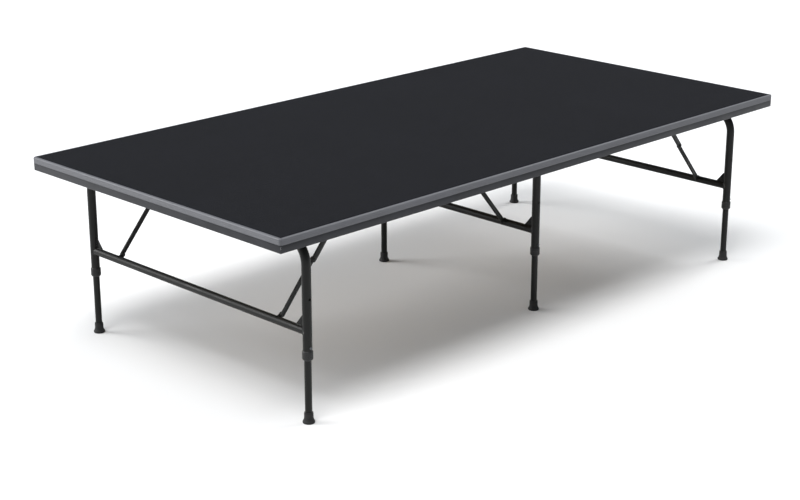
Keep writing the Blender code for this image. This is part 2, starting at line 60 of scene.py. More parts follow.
import bmesh
import bpy
from bpy.props import FloatProperty, FloatVectorProperty, IntProperty, PointerProperty
from mathutils import Euler, Matrix, Vector

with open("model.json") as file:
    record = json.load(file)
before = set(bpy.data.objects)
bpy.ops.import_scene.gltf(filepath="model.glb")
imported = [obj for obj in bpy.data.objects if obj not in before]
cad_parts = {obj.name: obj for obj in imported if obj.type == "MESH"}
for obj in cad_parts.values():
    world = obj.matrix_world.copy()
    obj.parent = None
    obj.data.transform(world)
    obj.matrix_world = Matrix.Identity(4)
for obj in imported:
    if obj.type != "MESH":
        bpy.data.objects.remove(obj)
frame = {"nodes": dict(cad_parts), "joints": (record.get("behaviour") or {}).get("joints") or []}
CAD_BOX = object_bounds()
JOINTS = {joint["name"]: joint for joint in frame["joints"]}

# ---------------------------------------------------------------- sizes that go with the part
GAP = 0.0003
UPPER_TUBE_WALL = 0.0016
LOWER_TUBE_WALL = 0.0015
CROSSBAR_WALL = 0.0015
BEND_RADIUS = 0.075
CORNER_RADIUS = 0.010
BAND_WIDTH = 0.009
RIB_HEIGHT = 0.33
RIB_SPACING = 0.0052
CHANNEL_WEB = 0.003
SHELF_WIDTH = 0.034
LIP_WIDTH = 0.020
HAT_SHEET = 0.002
HINGE_CROWN = 0.037
CROWN_ABOVE_HINGE = 0.015
BRACE_RAIL_START = 0.276
BRACE_RAIL_END = 0.346
BRACE_CROWN_INSET = 0.015
BRACE_CROWN_ABOVE_HINGE = 0.019
EDGE_SCREW_INSET = 0.06
FLANGE_SCREW_INSET = 0.04
HINGE_SCREW_REACH = 0.011
BRACE_SCREW_REACH = 0.007
SADDLE_WIDTH = 0.032
SADDLE_STRAP = 0.003
SADDLE_FOOT = 0.034
SADDLE_Y = {"left": 0.330, "middle": 0.160, "right": 0.330}
LUG_THICKNESS = 0.004
UPPER_LINK_RADIUS = 0.0095
LOWER_LINK_RADIUS = 0.008
PIN_RADIUS = 0.005
PIN_HEAD_RADIUS = 0.0075
LINK_PIN_REACH = 0.005
RIVET_TURN = {"lower": -90, "upper": 90}
GUSSET_SIDE = 0.036
GUSSET_THICKNESS = 0.003
GUSSET_TIP = 0.006
WELD_BITE = 0.002
SOLE_GROOVE = 0.0012
HOLE_RADIUS = 0.0044
HOLE_MARGIN = 0.008
BUTTON_ABOVE_CLIP = 0.009
BUTTON_RADIUS = 0.004
CLIP_SPREAD = 0.8
CLIP_STRIP = 0.0008
CLIP_LEAF_TOP = 0.007
CLIP_SHOULDER = 0.003
CLIP_PEAK = 0.28
CLIP_BREAK = 0.0001

# ---------------------------------------------------------------- studio
FLOOR_SIZE = 60
FLOOR_GAP = 0.0005
LIGHT_DISTANCE = 5
KEY_LEFT = (-0.34, -0.12, 0.64)
KEY_MIDDLE = (-0.16, -0.12, 0.64)
KEY_RIGHT = (0.52, -0.06, 0.64)
SIDE = (-0.52, 0.68, 0.41)
KEY_SPREAD = 26
SIDE_SPREAD = 36
SKY_COLOUR = (0.86, 0.93, 1.0, 1.0)
BACKDROP_STRENGTH = 1.3

# ---------------------------------------------------------------- names and places in the part
SIDES = (("near", -1), ("far", 1))
BAR_LUG, LOWER_LINK, UPPER_LINK, RAIL_LUG = range(4)
TUBE_BODY = "leg_frame_{frame}"
LOWER_LEG_BODY = "lower_leg_{frame}_{side}"
BUTTON_BODY = "snap_button_{frame}_{side}"


class LegFrame:
    """Where the parts of one folding leg frame are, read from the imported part."""

    def __init__(self, name):
        low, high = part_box(f"leg_tube_{name}")
        bar_low, bar_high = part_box(f"crossbar_{name}")
        link_low, link_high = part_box(f"brace_lower_{name}_far")
        outer_low, outer_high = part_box(f"brace_upper_{name}_far")
        self.name = name
        self.tube_radius = (high.x - low.x) / 2
        self.x = (low.x + high.x) / 2
        self.leg_y = high.y - self.tube_radius
        self.hinge_z = high.z - self.tube_radius
        self.tube_end = low.z
        self.fold = -JOINTS[f"fold_{name}"]["axis"][1]
        bar_side = bar_low.x if self.fold > 0 else bar_high.x
        self.bar_radius = abs(self.x - bar_side)
        self.bar_z = bar_low.z + self.bar_radius
        self.brace_y = (link_high.y + outer_low.y) / 2
        self.lower_link = (link_low.y, link_high.y)
        self.upper_link = (outer_low.y, outer_high.y)
        self.foot_pivot = Vector(JOINTS[f"lower_braces_{name}_turn"]["pos_m"])
        self.head_pivot = Vector(JOINTS[f"upper_braces_{name}_turn"]["pos_m"])
        self.saddle_y = SADDLE_Y[name]


FRAMES = [LegFrame(name) for name in ("left", "middle", "right")]
MODEL = FRAMES[0]
MODEL_SIGN = -1


# ---------------------------------------------------------------- settings a user would change
class RiserSizes(bpy.types.PropertyGroup):
    """Sizes of the fine detail."""

    tube_sides: IntProperty(
        name="Tube sides", description="Sides of the round tubes", default=40, min=12
    )
    carpet_relief: FloatProperty(
        name="Carpet relief",
        description="How far the carpet's surface rises and falls",
        default=0.0007,
        unit="LENGTH",
        precision=4,
    )
    carpet_edge: FloatProperty(
        name="Carpet edge",
        description="Radius of the carpet's rolled edge",
        default=0.0025,
        unit="LENGTH",
        precision=4,
    )
    nose_radius: FloatProperty(
        name="Nose radius",
        description="Radius of the edge band's upper corner",
        default=0.006,
        unit="LENGTH",
        precision=4,
    )
    rib_depth: FloatProperty(
        name="Rib depth",
        description="Depth of the two lines pressed along the edge band",
        default=0.0006,
        unit="LENGTH",
        precision=4,
    )
    sheet_bend: FloatProperty(
        name="Sheet bend",
        description="Radius of the bends in the sheet metal rails",
        default=0.004,
        unit="LENGTH",
        precision=4,
    )
    steel_edge: FloatProperty(
        name="Steel edge",
        description="How far sharp steel edges are broken",
        default=0.0006,
        unit="LENGTH",
        precision=4,
    )
    weld_radius: FloatProperty(
        name="Weld radius",
        description="Radius of the weld beads",
        default=0.0022,
        unit="LENGTH",
        precision=4,
    )
    screw_pitch: FloatProperty(
        name="Screw pitch",
        description="Distance between the screws along the rails",
        default=0.2,
        unit="LENGTH",
    )


def colour_setting(name, description, value):
    """A colour property of the finishes."""
    return FloatVectorProperty(
        name=name, description=description, default=value, subtype="COLOR", min=0, max=1
    )


class RiserColours(bpy.types.PropertyGroup):
    """Linear colours of the finishes."""

    carpet: colour_setting("Carpet", "Charcoal pile", (0.0060, 0.0064, 0.0090))
    band: colour_setting("Edge band", "Vinyl edge band", (0.108, 0.109, 0.120))
    # The channel's dark grey is painted shade: it is far darker than the band to stand in for the
    # shade on the lower half of the deck edge.
    channel: colour_setting("Channel", "Painted channel under the band", (0.029, 0.0295, 0.033))
    tube: colour_setting("Tube", "Powder-coated frame tubes", (0.0046, 0.0048, 0.0041))
    brace: colour_setting("Brace", "Enamelled brace links", (0.0060, 0.0062, 0.0055))
    rail: colour_setting("Rail", "Painted rails under the deck", (0.0105, 0.0108, 0.0103))
    bare_steel: colour_setting("Bare steel", "Steel where the coat has worn", (0.30, 0.30, 0.29))
    zinc: colour_setting("Zinc", "Plated screws and clips", (0.52, 0.53, 0.54))
    spring: colour_setting("Spring", "Blued steel of the lock clips", (0.115, 0.120, 0.130))
    plastic: colour_setting("Plastic", "Moulded leg bushes", (0.010, 0.010, 0.010))
    rubber: colour_setting("Rubber", "Foot caps", (0.012, 0.012, 0.012))
    plywood: colour_setting("Plywood", "Face veneer of the deck panel", (0.36, 0.275, 0.185))
    dust: colour_setting("Dust", "Dust that settles on the steel", (0.20, 0.19, 0.17))


class RiserStudio(bpy.types.PropertyGroup):
    """Camera, light and floor."""

    heading: FloatProperty(
        name="Heading",
        description="Direction of view, turned from +X towards +Y",
        default=0.7837,
        subtype="ANGLE",
    )
    pitch: FloatProperty(
        name="Pitch",
        description="How far the camera looks down",
        default=0.3243,
        subtype="ANGLE",
    )
    distance: FloatProperty(
        name="Distance",
        description="From the camera to the point that it looks at",
        default=5.789,
        unit="LENGTH",
    )
    target: FloatVectorProperty(
        name="Target",
        description="The point that the camera looks at",
        default=(-0.346, -0.2094, 0.3),
        subtype="XYZ",
        unit="LENGTH",
    )
    lens: FloatProperty(name="Lens", description="Focal length in millimetres", default=78.1)
    key_strength: FloatProperty(
        name="Key strength",
        description="Strength of each of the three soft lights overhead",
        default=1.15,
    )
    side_strength: FloatProperty(
        name="Side strength",
        description="Strength of the low light that reaches in under the deck",
        default=2.4,
    )
    sky_strength: FloatProperty(
        name="Sky strength", description="Strength of the light from all round", default=0.35
    )


# ---------------------------------------------------------------- working with operators
@contextmanager
def editing(obj):
    """Edit mode on one object, with nothing else selected."""
    bpy.ops.object.select_all(action="DESELECT")
    obj.select_set(True)
    bpy.context.view_layer.objects.active = obj
    bpy.ops.object.mode_set(mode="EDIT")
    yield obj
    bpy.ops.object.mode_set(mode="OBJECT")


def add(operator, name, scale=(1, 1, 1), **settings):
    """Adds a primitive and applies its place, so that its mesh is in world coordinates."""
    bpy.ops.object.select_all(action="DESELECT")
    operator(**settings)
    obj = bpy.context.active_object
    obj.name = name
    obj.scale = scale
    bpy.ops.object.transform_apply(location=True, rotation=True, scale=True)
    return obj


def pick(kind, test):
    """Selects only the vertices, edges or faces that pass a test, in edit mode."""
    bpy.ops.mesh.select_mode(type=kind)
    bpy.ops.mesh.select_all(action="DESELECT")
    mesh = bpy.context.edit_object.data
    bm = bmesh.from_edit_mesh(mesh)
    items = {"VERT": bm.verts, "EDGE": bm.edges, "FACE": bm.faces}[kind]
    for item in items:
        if test(item):
            item.select_set(True)
    bm.select_flush_mode()
    bmesh.update_edit_mesh(mesh)


def middle(item):
    """The middle of an edge or a face."""
    return sum((vert.co for vert in item.verts), Vector()) / len(item.verts)


def near(value, target, reach=0.00005):
    """Whether two measures are the same to within a small reach."""
    return abs(value - target) < reach


def extrude(offset):
    """Extrudes what is selected and moves it by an offset."""
    bpy.ops.mesh.extrude_region_move(TRANSFORM_OT_translate={"value": offset})


def resize(scale, centre):
    """Scales what is selected about a point."""
    bpy.ops.transform.resize(value=scale, center_override=centre)


def spin(angle, centre, axis, steps):
    """Spins the selected faces by the right-hand rule. The operator turns the other way."""
    bpy.ops.mesh.spin(steps=steps, angle=-angle, center=centre, axis=axis)


def bevel(offset, segments, affect="EDGES"):
    """Rounds the selected edges or, in a flat outline, its corners."""
    bpy.ops.mesh.bevel(offset=offset, segments=segments, affect=affect)


def face_outwards():
    """Closes the seams of a whole mesh and turns its faces outwards."""
    bpy.ops.mesh.select_all(action="SELECT")
    bpy.ops.mesh.remove_doubles(threshold=0.00001)
    bpy.ops.mesh.normals_make_consistent(inside=False)


def apply_modifier(obj, kind, **settings):
    """Adds a modifier to one object and applies it."""
    bpy.ops.object.select_all(action="DESELECT")
    obj.select_set(True)
    bpy.context.view_layer.objects.active = obj
    modifier = obj.modifiers.new(kind.title(), kind)
    for key, value in settings.items():
        setattr(modifier, key, value)
    bpy.ops.object.modifier_apply(modifier=modifier.name)


def break_edges(obj, width, segments=2, angle=40):
    """Rounds every sharp edge of a finished shape by a small radius."""
    apply_modifier(
        obj,
        "BEVEL",
        width=width,
        segments=segments,
        limit_method="ANGLE",
        angle_limit=radians(angle),
        use_clamp_overlap=True,
    )


def thicken(obj, thickness):
    """Gives a sheet its thickness, half to each side."""
    apply_modifier(obj, "SOLIDIFY", thickness=thickness, offset=0, use_even_offset=True)


def cut(obj, cutter):
    """Cuts a shape away from a piece. The cutter goes away."""
    apply_modifier(obj, "BOOLEAN", object=cutter, operation="DIFFERENCE", solver="EXACT")
    bpy.data.objects.remove(cutter)


def turned(name, profile, vertices, hollow=False):
    """A round piece about Z from (radius, height) points. A hollow one's profile runs all the
    way round its wall."""
    radius, height = profile[0]
    obj = add(
        bpy.ops.mesh.primitive_circle_add,
        name,
        radius=radius,
        vertices=vertices,
        location=(0, 0, height),
        fill_type="NOTHING" if hollow else "NGON",
    )
    with editing(obj):
        bpy.ops.mesh.select_all(action="SELECT")
        for next_radius, next_height in profile[1:]:
            extrude((0, 0, next_height - height))
            scale = next_radius / radius
            if not near(scale, 1):
                resize((scale, scale, 1), (0, 0, next_height))
            radius, height = next_radius, next_height
        if hollow:
            pick("EDGE", lambda edge: len(edge.link_faces) == 1)
            bpy.ops.mesh.bridge_edge_loops()
        face_outwards()
    return obj


def move_mesh(obj, matrix):
    """Moves a piece by moving its mesh, so that its object stays at the origin."""
    obj.data.transform(matrix)
    if matrix.determinant() < 0:
        obj.data.flip_normals()
    obj.data.update()


def copied(obj, matrix):
    """A copy with its own mesh, moved by a matrix."""
    made = obj.copy()
    made.data = obj.data.copy()
    bpy.context.scene.collection.objects.link(made)
    move_mesh(made, matrix)
    return made


def joined(objects, name):
    """Several objects as one group of separate solids."""
    bpy.ops.object.select_all(action="DESELECT")
    for obj in objects:
        obj.select_set(True)
    bpy.context.view_layer.objects.active = objects[0]
    bpy.ops.object.join()
    objects[0].name = name
    return objects[0]


def scattered(source, name, matrices):
    """Copies of one small solid, joined into one piece. The source goes away."""
    group = joined([copied(source, matrix) for matrix in matrices], name)
    bpy.data.objects.remove(source)
    return group


def finish_piece(obj, name, body, material, replaces=(), angle=35):
    """Names a piece, shades it, gives it its finish and ties it to the body that it moves with."""
    obj.name = name
    obj.data.name = name
    obj.data.materials.clear()
    obj.data.materials.append(bpy.data.materials[material])
    bpy.ops.object.select_all(action="DESELECT")
    obj.select_set(True)
    bpy.context.view_layer.objects.active = obj
    bpy.ops.object.shade_smooth_by_angle(angle=radians(angle))
    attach(obj, body)
    if replaces:
        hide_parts(*replaces)


def side_matrix(target, sign, reference):
    """Takes a piece from the model frame's near side to another frame and side. The reference
    names the distance from the middle that the piece keeps."""
    start = Vector((MODEL.x, MODEL_SIGN * getattr(MODEL, reference), 0))
    end = Vector((target.x, sign * getattr(target, reference), 0))
    mirror = Matrix.Diagonal((target.fold / MODEL.fold, sign / MODEL_SIGN, 1, 1))
    return Matrix.Translation(end) @ mirror @ Matrix.Translation(-start)


def repeat_on_sides(obj, label, reference, body, material, replaces=""):
    """Puts a piece made for the model frame's near side on both sides of all three frames."""
    for target in FRAMES:
        for side, sign in SIDES:
            names = {"frame": target.name, "side": side}
            made = copied(obj, side_matrix(target, sign, reference))
            nodes = [replaces.format(**names)] if replaces else []
            name = f"{label}_{target.name}_{side}"
            finish_piece(made, name, body.format(**names), material, nodes)
    bpy.data.objects.remove(obj)


def along_y(x, y, z):
    """Stands a piece that was turned about Z along +Y, with its foot at a point."""
    return Matrix.Translation((x, y, z)) @ Matrix.Rotation(radians(-90), 4, "X")


# ---------------------------------------------------------------- shader building
def node(tree, kind, inputs=None, **settings):
    """Adds a shader node. Inputs are values, or sockets to link from."""
    made = tree.nodes.new(kind)
    for key, value in settings.items():
        setattr(made, key, value)
    for key, value in (inputs or {}).items():
        if isinstance(value, bpy.types.NodeSocket):
            tree.links.new(value, made.inputs[key])
        else:
            made.inputs[key].default_value = value
    return made


def math(tree, operation, first, second=0.0, clamp=False):
    """One step of arithmetic on two values or sockets."""
    values = {0: first, 1: second}
    return node(tree, "ShaderNodeMath", values, operation=operation, use_clamp=clamp).outputs[0]


def ramp(tree, value, low, high, to_low=0.0, to_high=1.0):
    """Maps low..high to a new range with soft ends."""
    made = node(
        tree,
        "ShaderNodeMapRange",
        {"Value": value, "From Min": low, "From Max": high, "To Min": to_low, "To Max": to_high},
        interpolation_type="SMOOTHSTEP",
    )
    return made.outputs["Result"]


def noise(tree, position, scale, detail=2.0, roughness=0.5, distortion=0.0):
    """A cloudy value around a half."""
    made = node(
        tree,
        "ShaderNodeTexNoise",
        {
            "Vector": position,
            "Scale": scale,
            "Detail": detail,
            "Roughness": roughness,
            "Distortion": distortion,
        },
    )
    return made.outputs["Fac"]


def stretched(tree, position, scale):
    """A position with its axes scaled, for a pattern with a direction."""
    made = node(tree, "ShaderNodeMapping", {"Vector": position, "Scale": scale})
    return made.outputs["Vector"]


def mix(tree, factor, first, second, blend="MIX"):
    """Mixes two colours. A plain colour may have three parts."""
    made = node(tree, "ShaderNodeMix", data_type="RGBA", blend_type=blend, clamp_factor=True)
    for index, value in ((0, factor), (6, first), (7, second)):
        if isinstance(value, bpy.types.NodeSocket):
            tree.links.new(value, made.inputs[index])
        elif index:
            made.inputs[index].default_value = (*value, 1.0)
        else:
            made.inputs[index].default_value = value
    return made.outputs[2]


def scaled(colour, factor):
    """A plain colour made darker or paler."""
    return tuple(min(1.0, part * factor) for part in colour)


def new_group(name, inputs, outputs):
    """An empty node group. Inputs are {name: default}, and a default of None is a vector."""
    tree = bpy.data.node_groups.new(name, "ShaderNodeTree")
    for label, default in inputs.items():
        kind = "NodeSocketVector" if default is None else "NodeSocketFloat"
        socket = tree.interface.new_socket(name=label, in_out="INPUT", socket_type=kind)
        if default is not None:
            socket.default_value = default
    for label in outputs:
        tree.interface.new_socket(name=label, in_out="OUTPUT", socket_type="NodeSocketFloat")
    entry = tree.nodes.new("NodeGroupInput")
    leave = tree.nodes.new("NodeGroupOutput")
    return tree, entry.outputs, leave.inputs


def use_group(tree, name, **inputs):
    """Places a node group in a material and sets or links its inputs."""
    made = tree.nodes.new("ShaderNodeGroup")
    made.node_tree = bpy.data.node_groups[name]
    for key, value in inputs.items():
        socket = made.inputs[key.replace("_", " ").capitalize()]
        if isinstance(value, bpy.types.NodeSocket):
            tree.links.new(value, socket)
        else:
            socket.default_value = value
    return made.outputs


def make_edge_wear_group():
    """Where a coat has rubbed off sharp edges, in patches."""
    tree, given, result = new_group(
        "Edge wear", {"Position": None, "Radius": 0.001, "Patch size": 0.02}, ["Mask"]
    )
    rounded = node(tree, "ShaderNodeBevel", {"Radius": given["Radius"]}, samples=4)
    flat = node(tree, "ShaderNodeNewGeometry")
    facing = node(
        tree,
        "ShaderNodeVectorMath",
        {0: rounded.outputs["Normal"], 1: flat.outputs["Normal"]},
        operation="DOT_PRODUCT",
    )
    turn = math(tree, "SUBTRACT", 1.0, facing.outputs["Value"])
    edge = ramp(tree, turn, 0.012, 0.16)
    scale = math(tree, "DIVIDE", 1.0, given["Patch size"])
    patches = ramp(tree, noise(tree, given["Position"], scale, 4.0, 0.65), 0.47, 0.66)
    tree.links.new(math(tree, "MULTIPLY", edge, patches), result["Mask"])


def make_coat_grain_group():
    """The orange peel of a sprayed coat: a height, and a slow drift of its tone."""
    tree, given, result = new_group(
        "Coat grain", {"Position": None, "Size": 0.0016}, ["Height", "Tone"]
    )
    scale = math(tree, "DIVIDE", 1.0, given["Size"])
    peel = noise(tree, given["Position"], scale, 2.0, 0.5)
    fine = noise(tree, given["Position"], math(tree, "MULTIPLY", scale, 4.0), 2.0, 0.6)
    height = math(tree, "ADD", peel, math(tree, "MULTIPLY", fine, 0.35))
    tree.links.new(height, result["Height"])
    tree.links.new(ramp(tree, noise(tree, given["Position"], 9.0, 3.0), 0.3, 0.7), result["Tone"])


def make_scuff_group():
    """Fine scratches drawn along one direction, in loose patches."""
    tree, given, result = new_group(
        "Scuffs", {"Position": None, "Along": None, "Amount": 0.5}, ["Mask"]
    )
    lined = node(
        tree,
        "ShaderNodeVectorMath",
        {0: given["Position"], 1: given["Along"]},
        operation="MULTIPLY",
    )
    lines = ramp(tree, noise(tree, lined.outputs["Vector"], 1.0, 3.0, 0.7, 0.3), 0.62, 0.72)
    patches = ramp(tree, noise(tree, given["Position"], 14.0, 2.0), 0.45, 0.65)
    shared = math(tree, "MULTIPLY", lines, patches)
    tree.links.new(math(tree, "MULTIPLY", shared, given["Amount"]), result["Mask"])


def make_dust_group():
    """Dust on what faces up, and a little everywhere else."""
    tree, given, result = new_group("Dust", {"Position": None, "Amount": 0.3}, ["Mask"])
    facing = node(tree, "ShaderNodeTexCoord").outputs["Normal"]
    height = node(tree, "ShaderNodeSeparateXYZ", {"Vector": facing}).outputs["Z"]
    up = ramp(tree, height, 0.1, 1.0, 0.12, 1.0)
    cloud = ramp(tree, noise(tree, given["Position"], 22.0, 6.0, 0.7), 0.35, 0.75)
    specks = ramp(tree, noise(tree, given["Position"], 900.0, 2.0), 0.5, 0.8)
    settled = math(tree, "ADD", cloud, math(tree, "MULTIPLY", specks, 0.4))
    layer = math(tree, "MULTIPLY", up, settled)
    tree.links.new(math(tree, "MULTIPLY", layer, given["Amount"], clamp=True), result["Mask"])


def make_pile_group():
    """Needle-punched pile: tufts with loose fibres, their tone, and slow patches of wear."""
    tree, given, result = new_group(
        "Carpet pile", {"Position": None, "Tuft size": 0.0022}, ["Height", "Tone", "Patches"]
    )
    scale = math(tree, "DIVIDE", 1.0, given["Tuft size"])
    tufts = node(
        tree, "ShaderNodeTexVoronoi", {"Vector": given["Position"], "Scale": scale}, feature="F1"
    )
    fibre = noise(tree, given["Position"], math(tree, "MULTIPLY", scale, 3.2), 3.0, 0.7, 1.5)
    lean = noise(tree, stretched(tree, given["Position"], (150.0, 420.0, 150.0)), 1.0, 3.0, 0.6)
    dome = ramp(tree, tufts.outputs["Distance"], 0.0, 0.75, 1.0, 0.0)
    height = math(tree, "ADD", dome, math(tree, "MULTIPLY", fibre, 0.8))
    tree.links.new(math(tree, "ADD", height, math(tree, "MULTIPLY", lean, 0.5)), result["Height"])
    mixed = math(tree, "ADD", math(tree, "MULTIPLY", fibre, 0.6), math(tree, "MULTIPLY", lean, 0.4))
    tree.links.new(ramp(tree, mixed, 0.3, 0.7), result["Tone"])
    slow = math(tree, "MULTIPLY", noise(tree, given["Position"], 2.6, 4.0, 0.6), 0.55)
    quick = math(tree, "MULTIPLY", noise(tree, given["Position"], 34.0, 3.0, 0.6), 0.45)
    tree.links.new(ramp(tree, math(tree, "ADD", slow, quick), 0.36, 0.64), result["Patches"])


def make_wood_group():
    """Rotary-cut face veneer with its growth figure, and the layers that show at an edge."""
    tree, given, result = new_group(
        "Plywood grain", {"Position": None}, ["Figure", "Pores", "Layers", "Edge"]
    )
    warp = stretched(tree, given["Position"], (0.9, 5.5, 1.0))
    slow = noise(tree, warp, 1.6, 3.0, 0.55, 0.6)
    rings = math(tree, "SINE", math(tree, "MULTIPLY", slow, 62.0))
    tree.links.new(ramp(tree, rings, -0.9, 1.0), result["Figure"])
    drawn = stretched(tree, given["Position"], (9.0, 700.0, 1.0))
    tree.links.new(ramp(tree, noise(tree, drawn, 1.0, 3.0, 0.7), 0.48, 0.62), result["Pores"])
    parts = node(tree, "ShaderNodeSeparateXYZ", {"Vector": given["Position"]})
    ply = math(tree, "SINE", math(tree, "MULTIPLY", parts.outputs["Z"], 2 * pi / 0.0027))
    tree.links.new(ramp(tree, ply, -0.2, 0.2), result["Layers"])
    facing = node(tree, "ShaderNodeTexCoord").outputs["Normal"]
    up = node(tree, "ShaderNodeSeparateXYZ", {"Vector": facing}).outputs["Z"]
    level = math(tree, "ABSOLUTE", up)
    tree.links.new(ramp(tree, level, 0.3, 0.7, 1.0, 0.0), result["Edge"])


def new_material(name, specular=0.5, coat=0.0, sheen=0.0):
    """A material, its tree, its Principled shader and the object's own coordinates."""
    material = bpy.data.materials.new(name)
    material.use_nodes = True
    tree = material.node_tree
    shader = tree.nodes["Principled BSDF"]
    shader.inputs["Specular IOR Level"].default_value = specular
    shader.inputs["Coat Weight"].default_value = coat
    shader.inputs["Sheen Weight"].default_value = sheen
    position = node(tree, "ShaderNodeTexCoord").outputs["Object"]
    return tree, shader, position


def set_surface(tree, shader, colour, roughness, height, depth, metallic=None):
    """Feeds the shader's colour, roughness, metal and bump."""
    tree.links.new(colour, shader.inputs["Base Color"])
    tree.links.new(roughness, shader.inputs["Roughness"])
    if metallic is not None:
        tree.links.new(metallic, shader.inputs["Metallic"])
    bump = node(tree, "ShaderNodeBump", {"Height": height, "Distance": depth, "Strength": 1.0})
    tree.links.new(bump.outputs["Normal"], shader.inputs["Normal"])


def make_coated_steel(name, colour, colours, roughness, scuff_along, scuffs, dust, wear=0.0011):
    """Sprayed or powder-coated steel with worn edges, scratches and dust."""
    tree, shader, position = new_material(name, specular=0.24)
    grain = use_group(tree, "Coat grain", position=position, size=0.0016)
    worn = use_group(tree, "Edge wear", position=position, radius=wear, patch_size=0.018)["Mask"]
    scuff = use_group(tree, "Scuffs", position=position, along=scuff_along, amount=scuffs)["Mask"]
    dusty = use_group(tree, "Dust", position=position, amount=dust)["Mask"]
    coat = mix(tree, grain["Tone"], scaled(colour, 0.82), scaled(colour, 1.22))
    scratched = mix(tree, scuff, coat, scaled(colour, 3.2))
    bared = mix(tree, worn, scratched, tuple(colours.bare_steel))
    dressed = mix(tree, dusty, bared, tuple(colours.dust))
    gloss = ramp(tree, grain["Tone"], 0.0, 1.0, roughness - 0.05, roughness + 0.07)
    duller = math(tree, "ADD", gloss, math(tree, "MULTIPLY", dusty, 0.35), clamp=True)
    height = math(tree, "SUBTRACT", grain["Height"], math(tree, "MULTIPLY", worn, 0.9))
    metal = math(tree, "MULTIPLY", worn, 0.85)
    set_surface(tree, shader, dressed, duller, height, 0.00010, metal)


def make_carpet_finish(colour):
    """Charcoal pile with pale flecks and trodden patches."""
    tree, shader, position = new_material("charcoal_carpet", specular=0.08, sheen=0.02)
    shader.inputs["Sheen Roughness"].default_value = 0.6
    pile = use_group(tree, "Carpet pile", position=position, tuft_size=0.0022)
    tone = mix(tree, pile["Tone"], scaled(colour, 0.55), scaled(colour, 1.50))
    flecks = ramp(tree, noise(tree, position, 1400.0, 2.0), 0.62, 0.74, 0.0, 0.5)
    flecked = mix(tree, flecks, tone, scaled(colour, 2.6))
    trodden = mix(tree, pile["Patches"], scaled((1, 1, 1), 0.84), (1, 1, 1))
    patched = mix(tree, 1.0, flecked, trodden, "MULTIPLY")
    roughness = ramp(tree, pile["Tone"], 0.0, 1.0, 0.88, 0.98)
    set_surface(tree, shader, patched, roughness, pile["Height"], 0.0009)


def make_band_finish(colour):
    """Extruded vinyl: faint draw lines along it, a matt grain and rubbed spots."""
    tree, shader, position = new_material("vinyl_band", specular=0.45)
    drawn = stretched(tree, position, (0.6, 0.6, 900.0))
    lines = noise(tree, drawn, 1.0, 2.0, 0.6)
    grain = use_group(tree, "Coat grain", position=position, size=0.0009)
    rubbed = use_group(
        tree, "Scuffs", position=position, along=(5.0, 5.0, 700.0), amount=0.6
    )["Mask"]
    dusty = use_group(tree, "Dust", position=position, amount=0.10)["Mask"]
    tone = mix(tree, grain["Tone"], scaled(colour, 0.90), scaled(colour, 1.10))
    lined = mix(tree, ramp(tree, lines, 0.35, 0.65, 0.0, 0.30), tone, scaled(colour, 0.72))
    marked = mix(tree, rubbed, lined, scaled(colour, 1.7))
    dressed = mix(tree, dusty, marked, scaled(colour, 1.5))
    height = math(tree, "ADD", lines, math(tree, "MULTIPLY", grain["Height"], 0.5))
    roughness = ramp(tree, grain["Tone"], 0.0, 1.0, 0.40, 0.52)
    set_surface(tree, shader, dressed, roughness, height, 0.00012)


def make_plywood_finish(colour):
    """Birch face veneer with its pores and stains, and the layers at its edges."""
    tree, shader, position = new_material("birch_plywood", specular=0.35)
    wood = use_group(tree, "Plywood grain", position=position)
    face = mix(tree, wood["Figure"], scaled(colour, 0.74), scaled(colour, 1.12))
    pored = mix(tree, math(tree, "MULTIPLY", wood["Pores"], 0.55), face, scaled(colour, 0.42))
    edge = mix(tree, wood["Layers"], scaled(colour, 0.40), scaled(colour, 1.0))
    stained = ramp(tree, noise(tree, position, 3.0, 4.0, 0.6), 0.40, 0.75, 0.0, 0.35)
    aged = mix(tree, stained, mix(tree, wood["Edge"], pored, edge), scaled(colour, 0.50))
    height = math(tree, "SUBTRACT", wood["Figure"], wood["Pores"])
    roughness = ramp(tree, wood["Figure"], 0.0, 1.0, 0.68, 0.55)
    set_surface(tree, shader, aged, roughness, height, 0.00015)


def make_moulded_finish(name, colour, roughness, grain_size, depth, dust, dust_colour):
    """Moulded plastic or rubber: a fine spark-eroded grain, rubbed edges and dust."""
    tree, shader, position = new_material(name, specular=0.4)
    grain = use_group(tree, "Coat grain", position=position, size=grain_size)
    worn = use_group(tree, "Edge wear", position=position, radius=0.0009, patch_size=0.01)["Mask"]
    dusty = use_group(tree, "Dust", position=position, amount=dust)["Mask"]
    tone = mix(tree, grain["Tone"], scaled(colour, 0.75), scaled(colour, 1.35))
    paler = mix(tree, math(tree, "MULTIPLY", worn, 0.5), tone, scaled(colour, 6.0))
    dressed = mix(tree, dusty, paler, dust_colour)
    gloss = ramp(tree, grain["Height"], 0.4, 0.9, roughness - 0.06, roughness + 0.06)
    set_surface(tree, shader, dressed, gloss, grain["Height"], depth)


def make_plated_finish(name, colour, roughness):
    """Zinc-plated steel: pale spangle, fine drawing lines and dull spots."""
    tree, shader, position = new_material(name)
    spangle = node(
        tree, "ShaderNodeTexVoronoi", {"Vector": position, "Scale": 420.0}, feature="F1"
    ).outputs["Color"]
    grey = node(tree, "ShaderNodeSeparateColor", {"Color": spangle}).outputs["Red"]
    drawn = noise(tree, stretched(tree, position, (300.0, 300.0, 2500.0)), 1.0, 2.0)
    spots = ramp(tree, noise(tree, position, 260.0, 3.0, 0.6), 0.52, 0.72)
    tone = mix(tree, grey, scaled(colour, 0.82), scaled(colour, 1.10))
    spotted = mix(tree, math(tree, "MULTIPLY", spots, 0.6), tone, scaled(colour, 0.45))
    roughened = ramp(tree, spots, 0.0, 1.0, roughness, roughness + 0.28)
    metal = ramp(tree, spots, 0.0, 1.0, 1.0, 0.7)
    set_surface(tree, shader, spotted, roughened, drawn, 0.00004, metal)


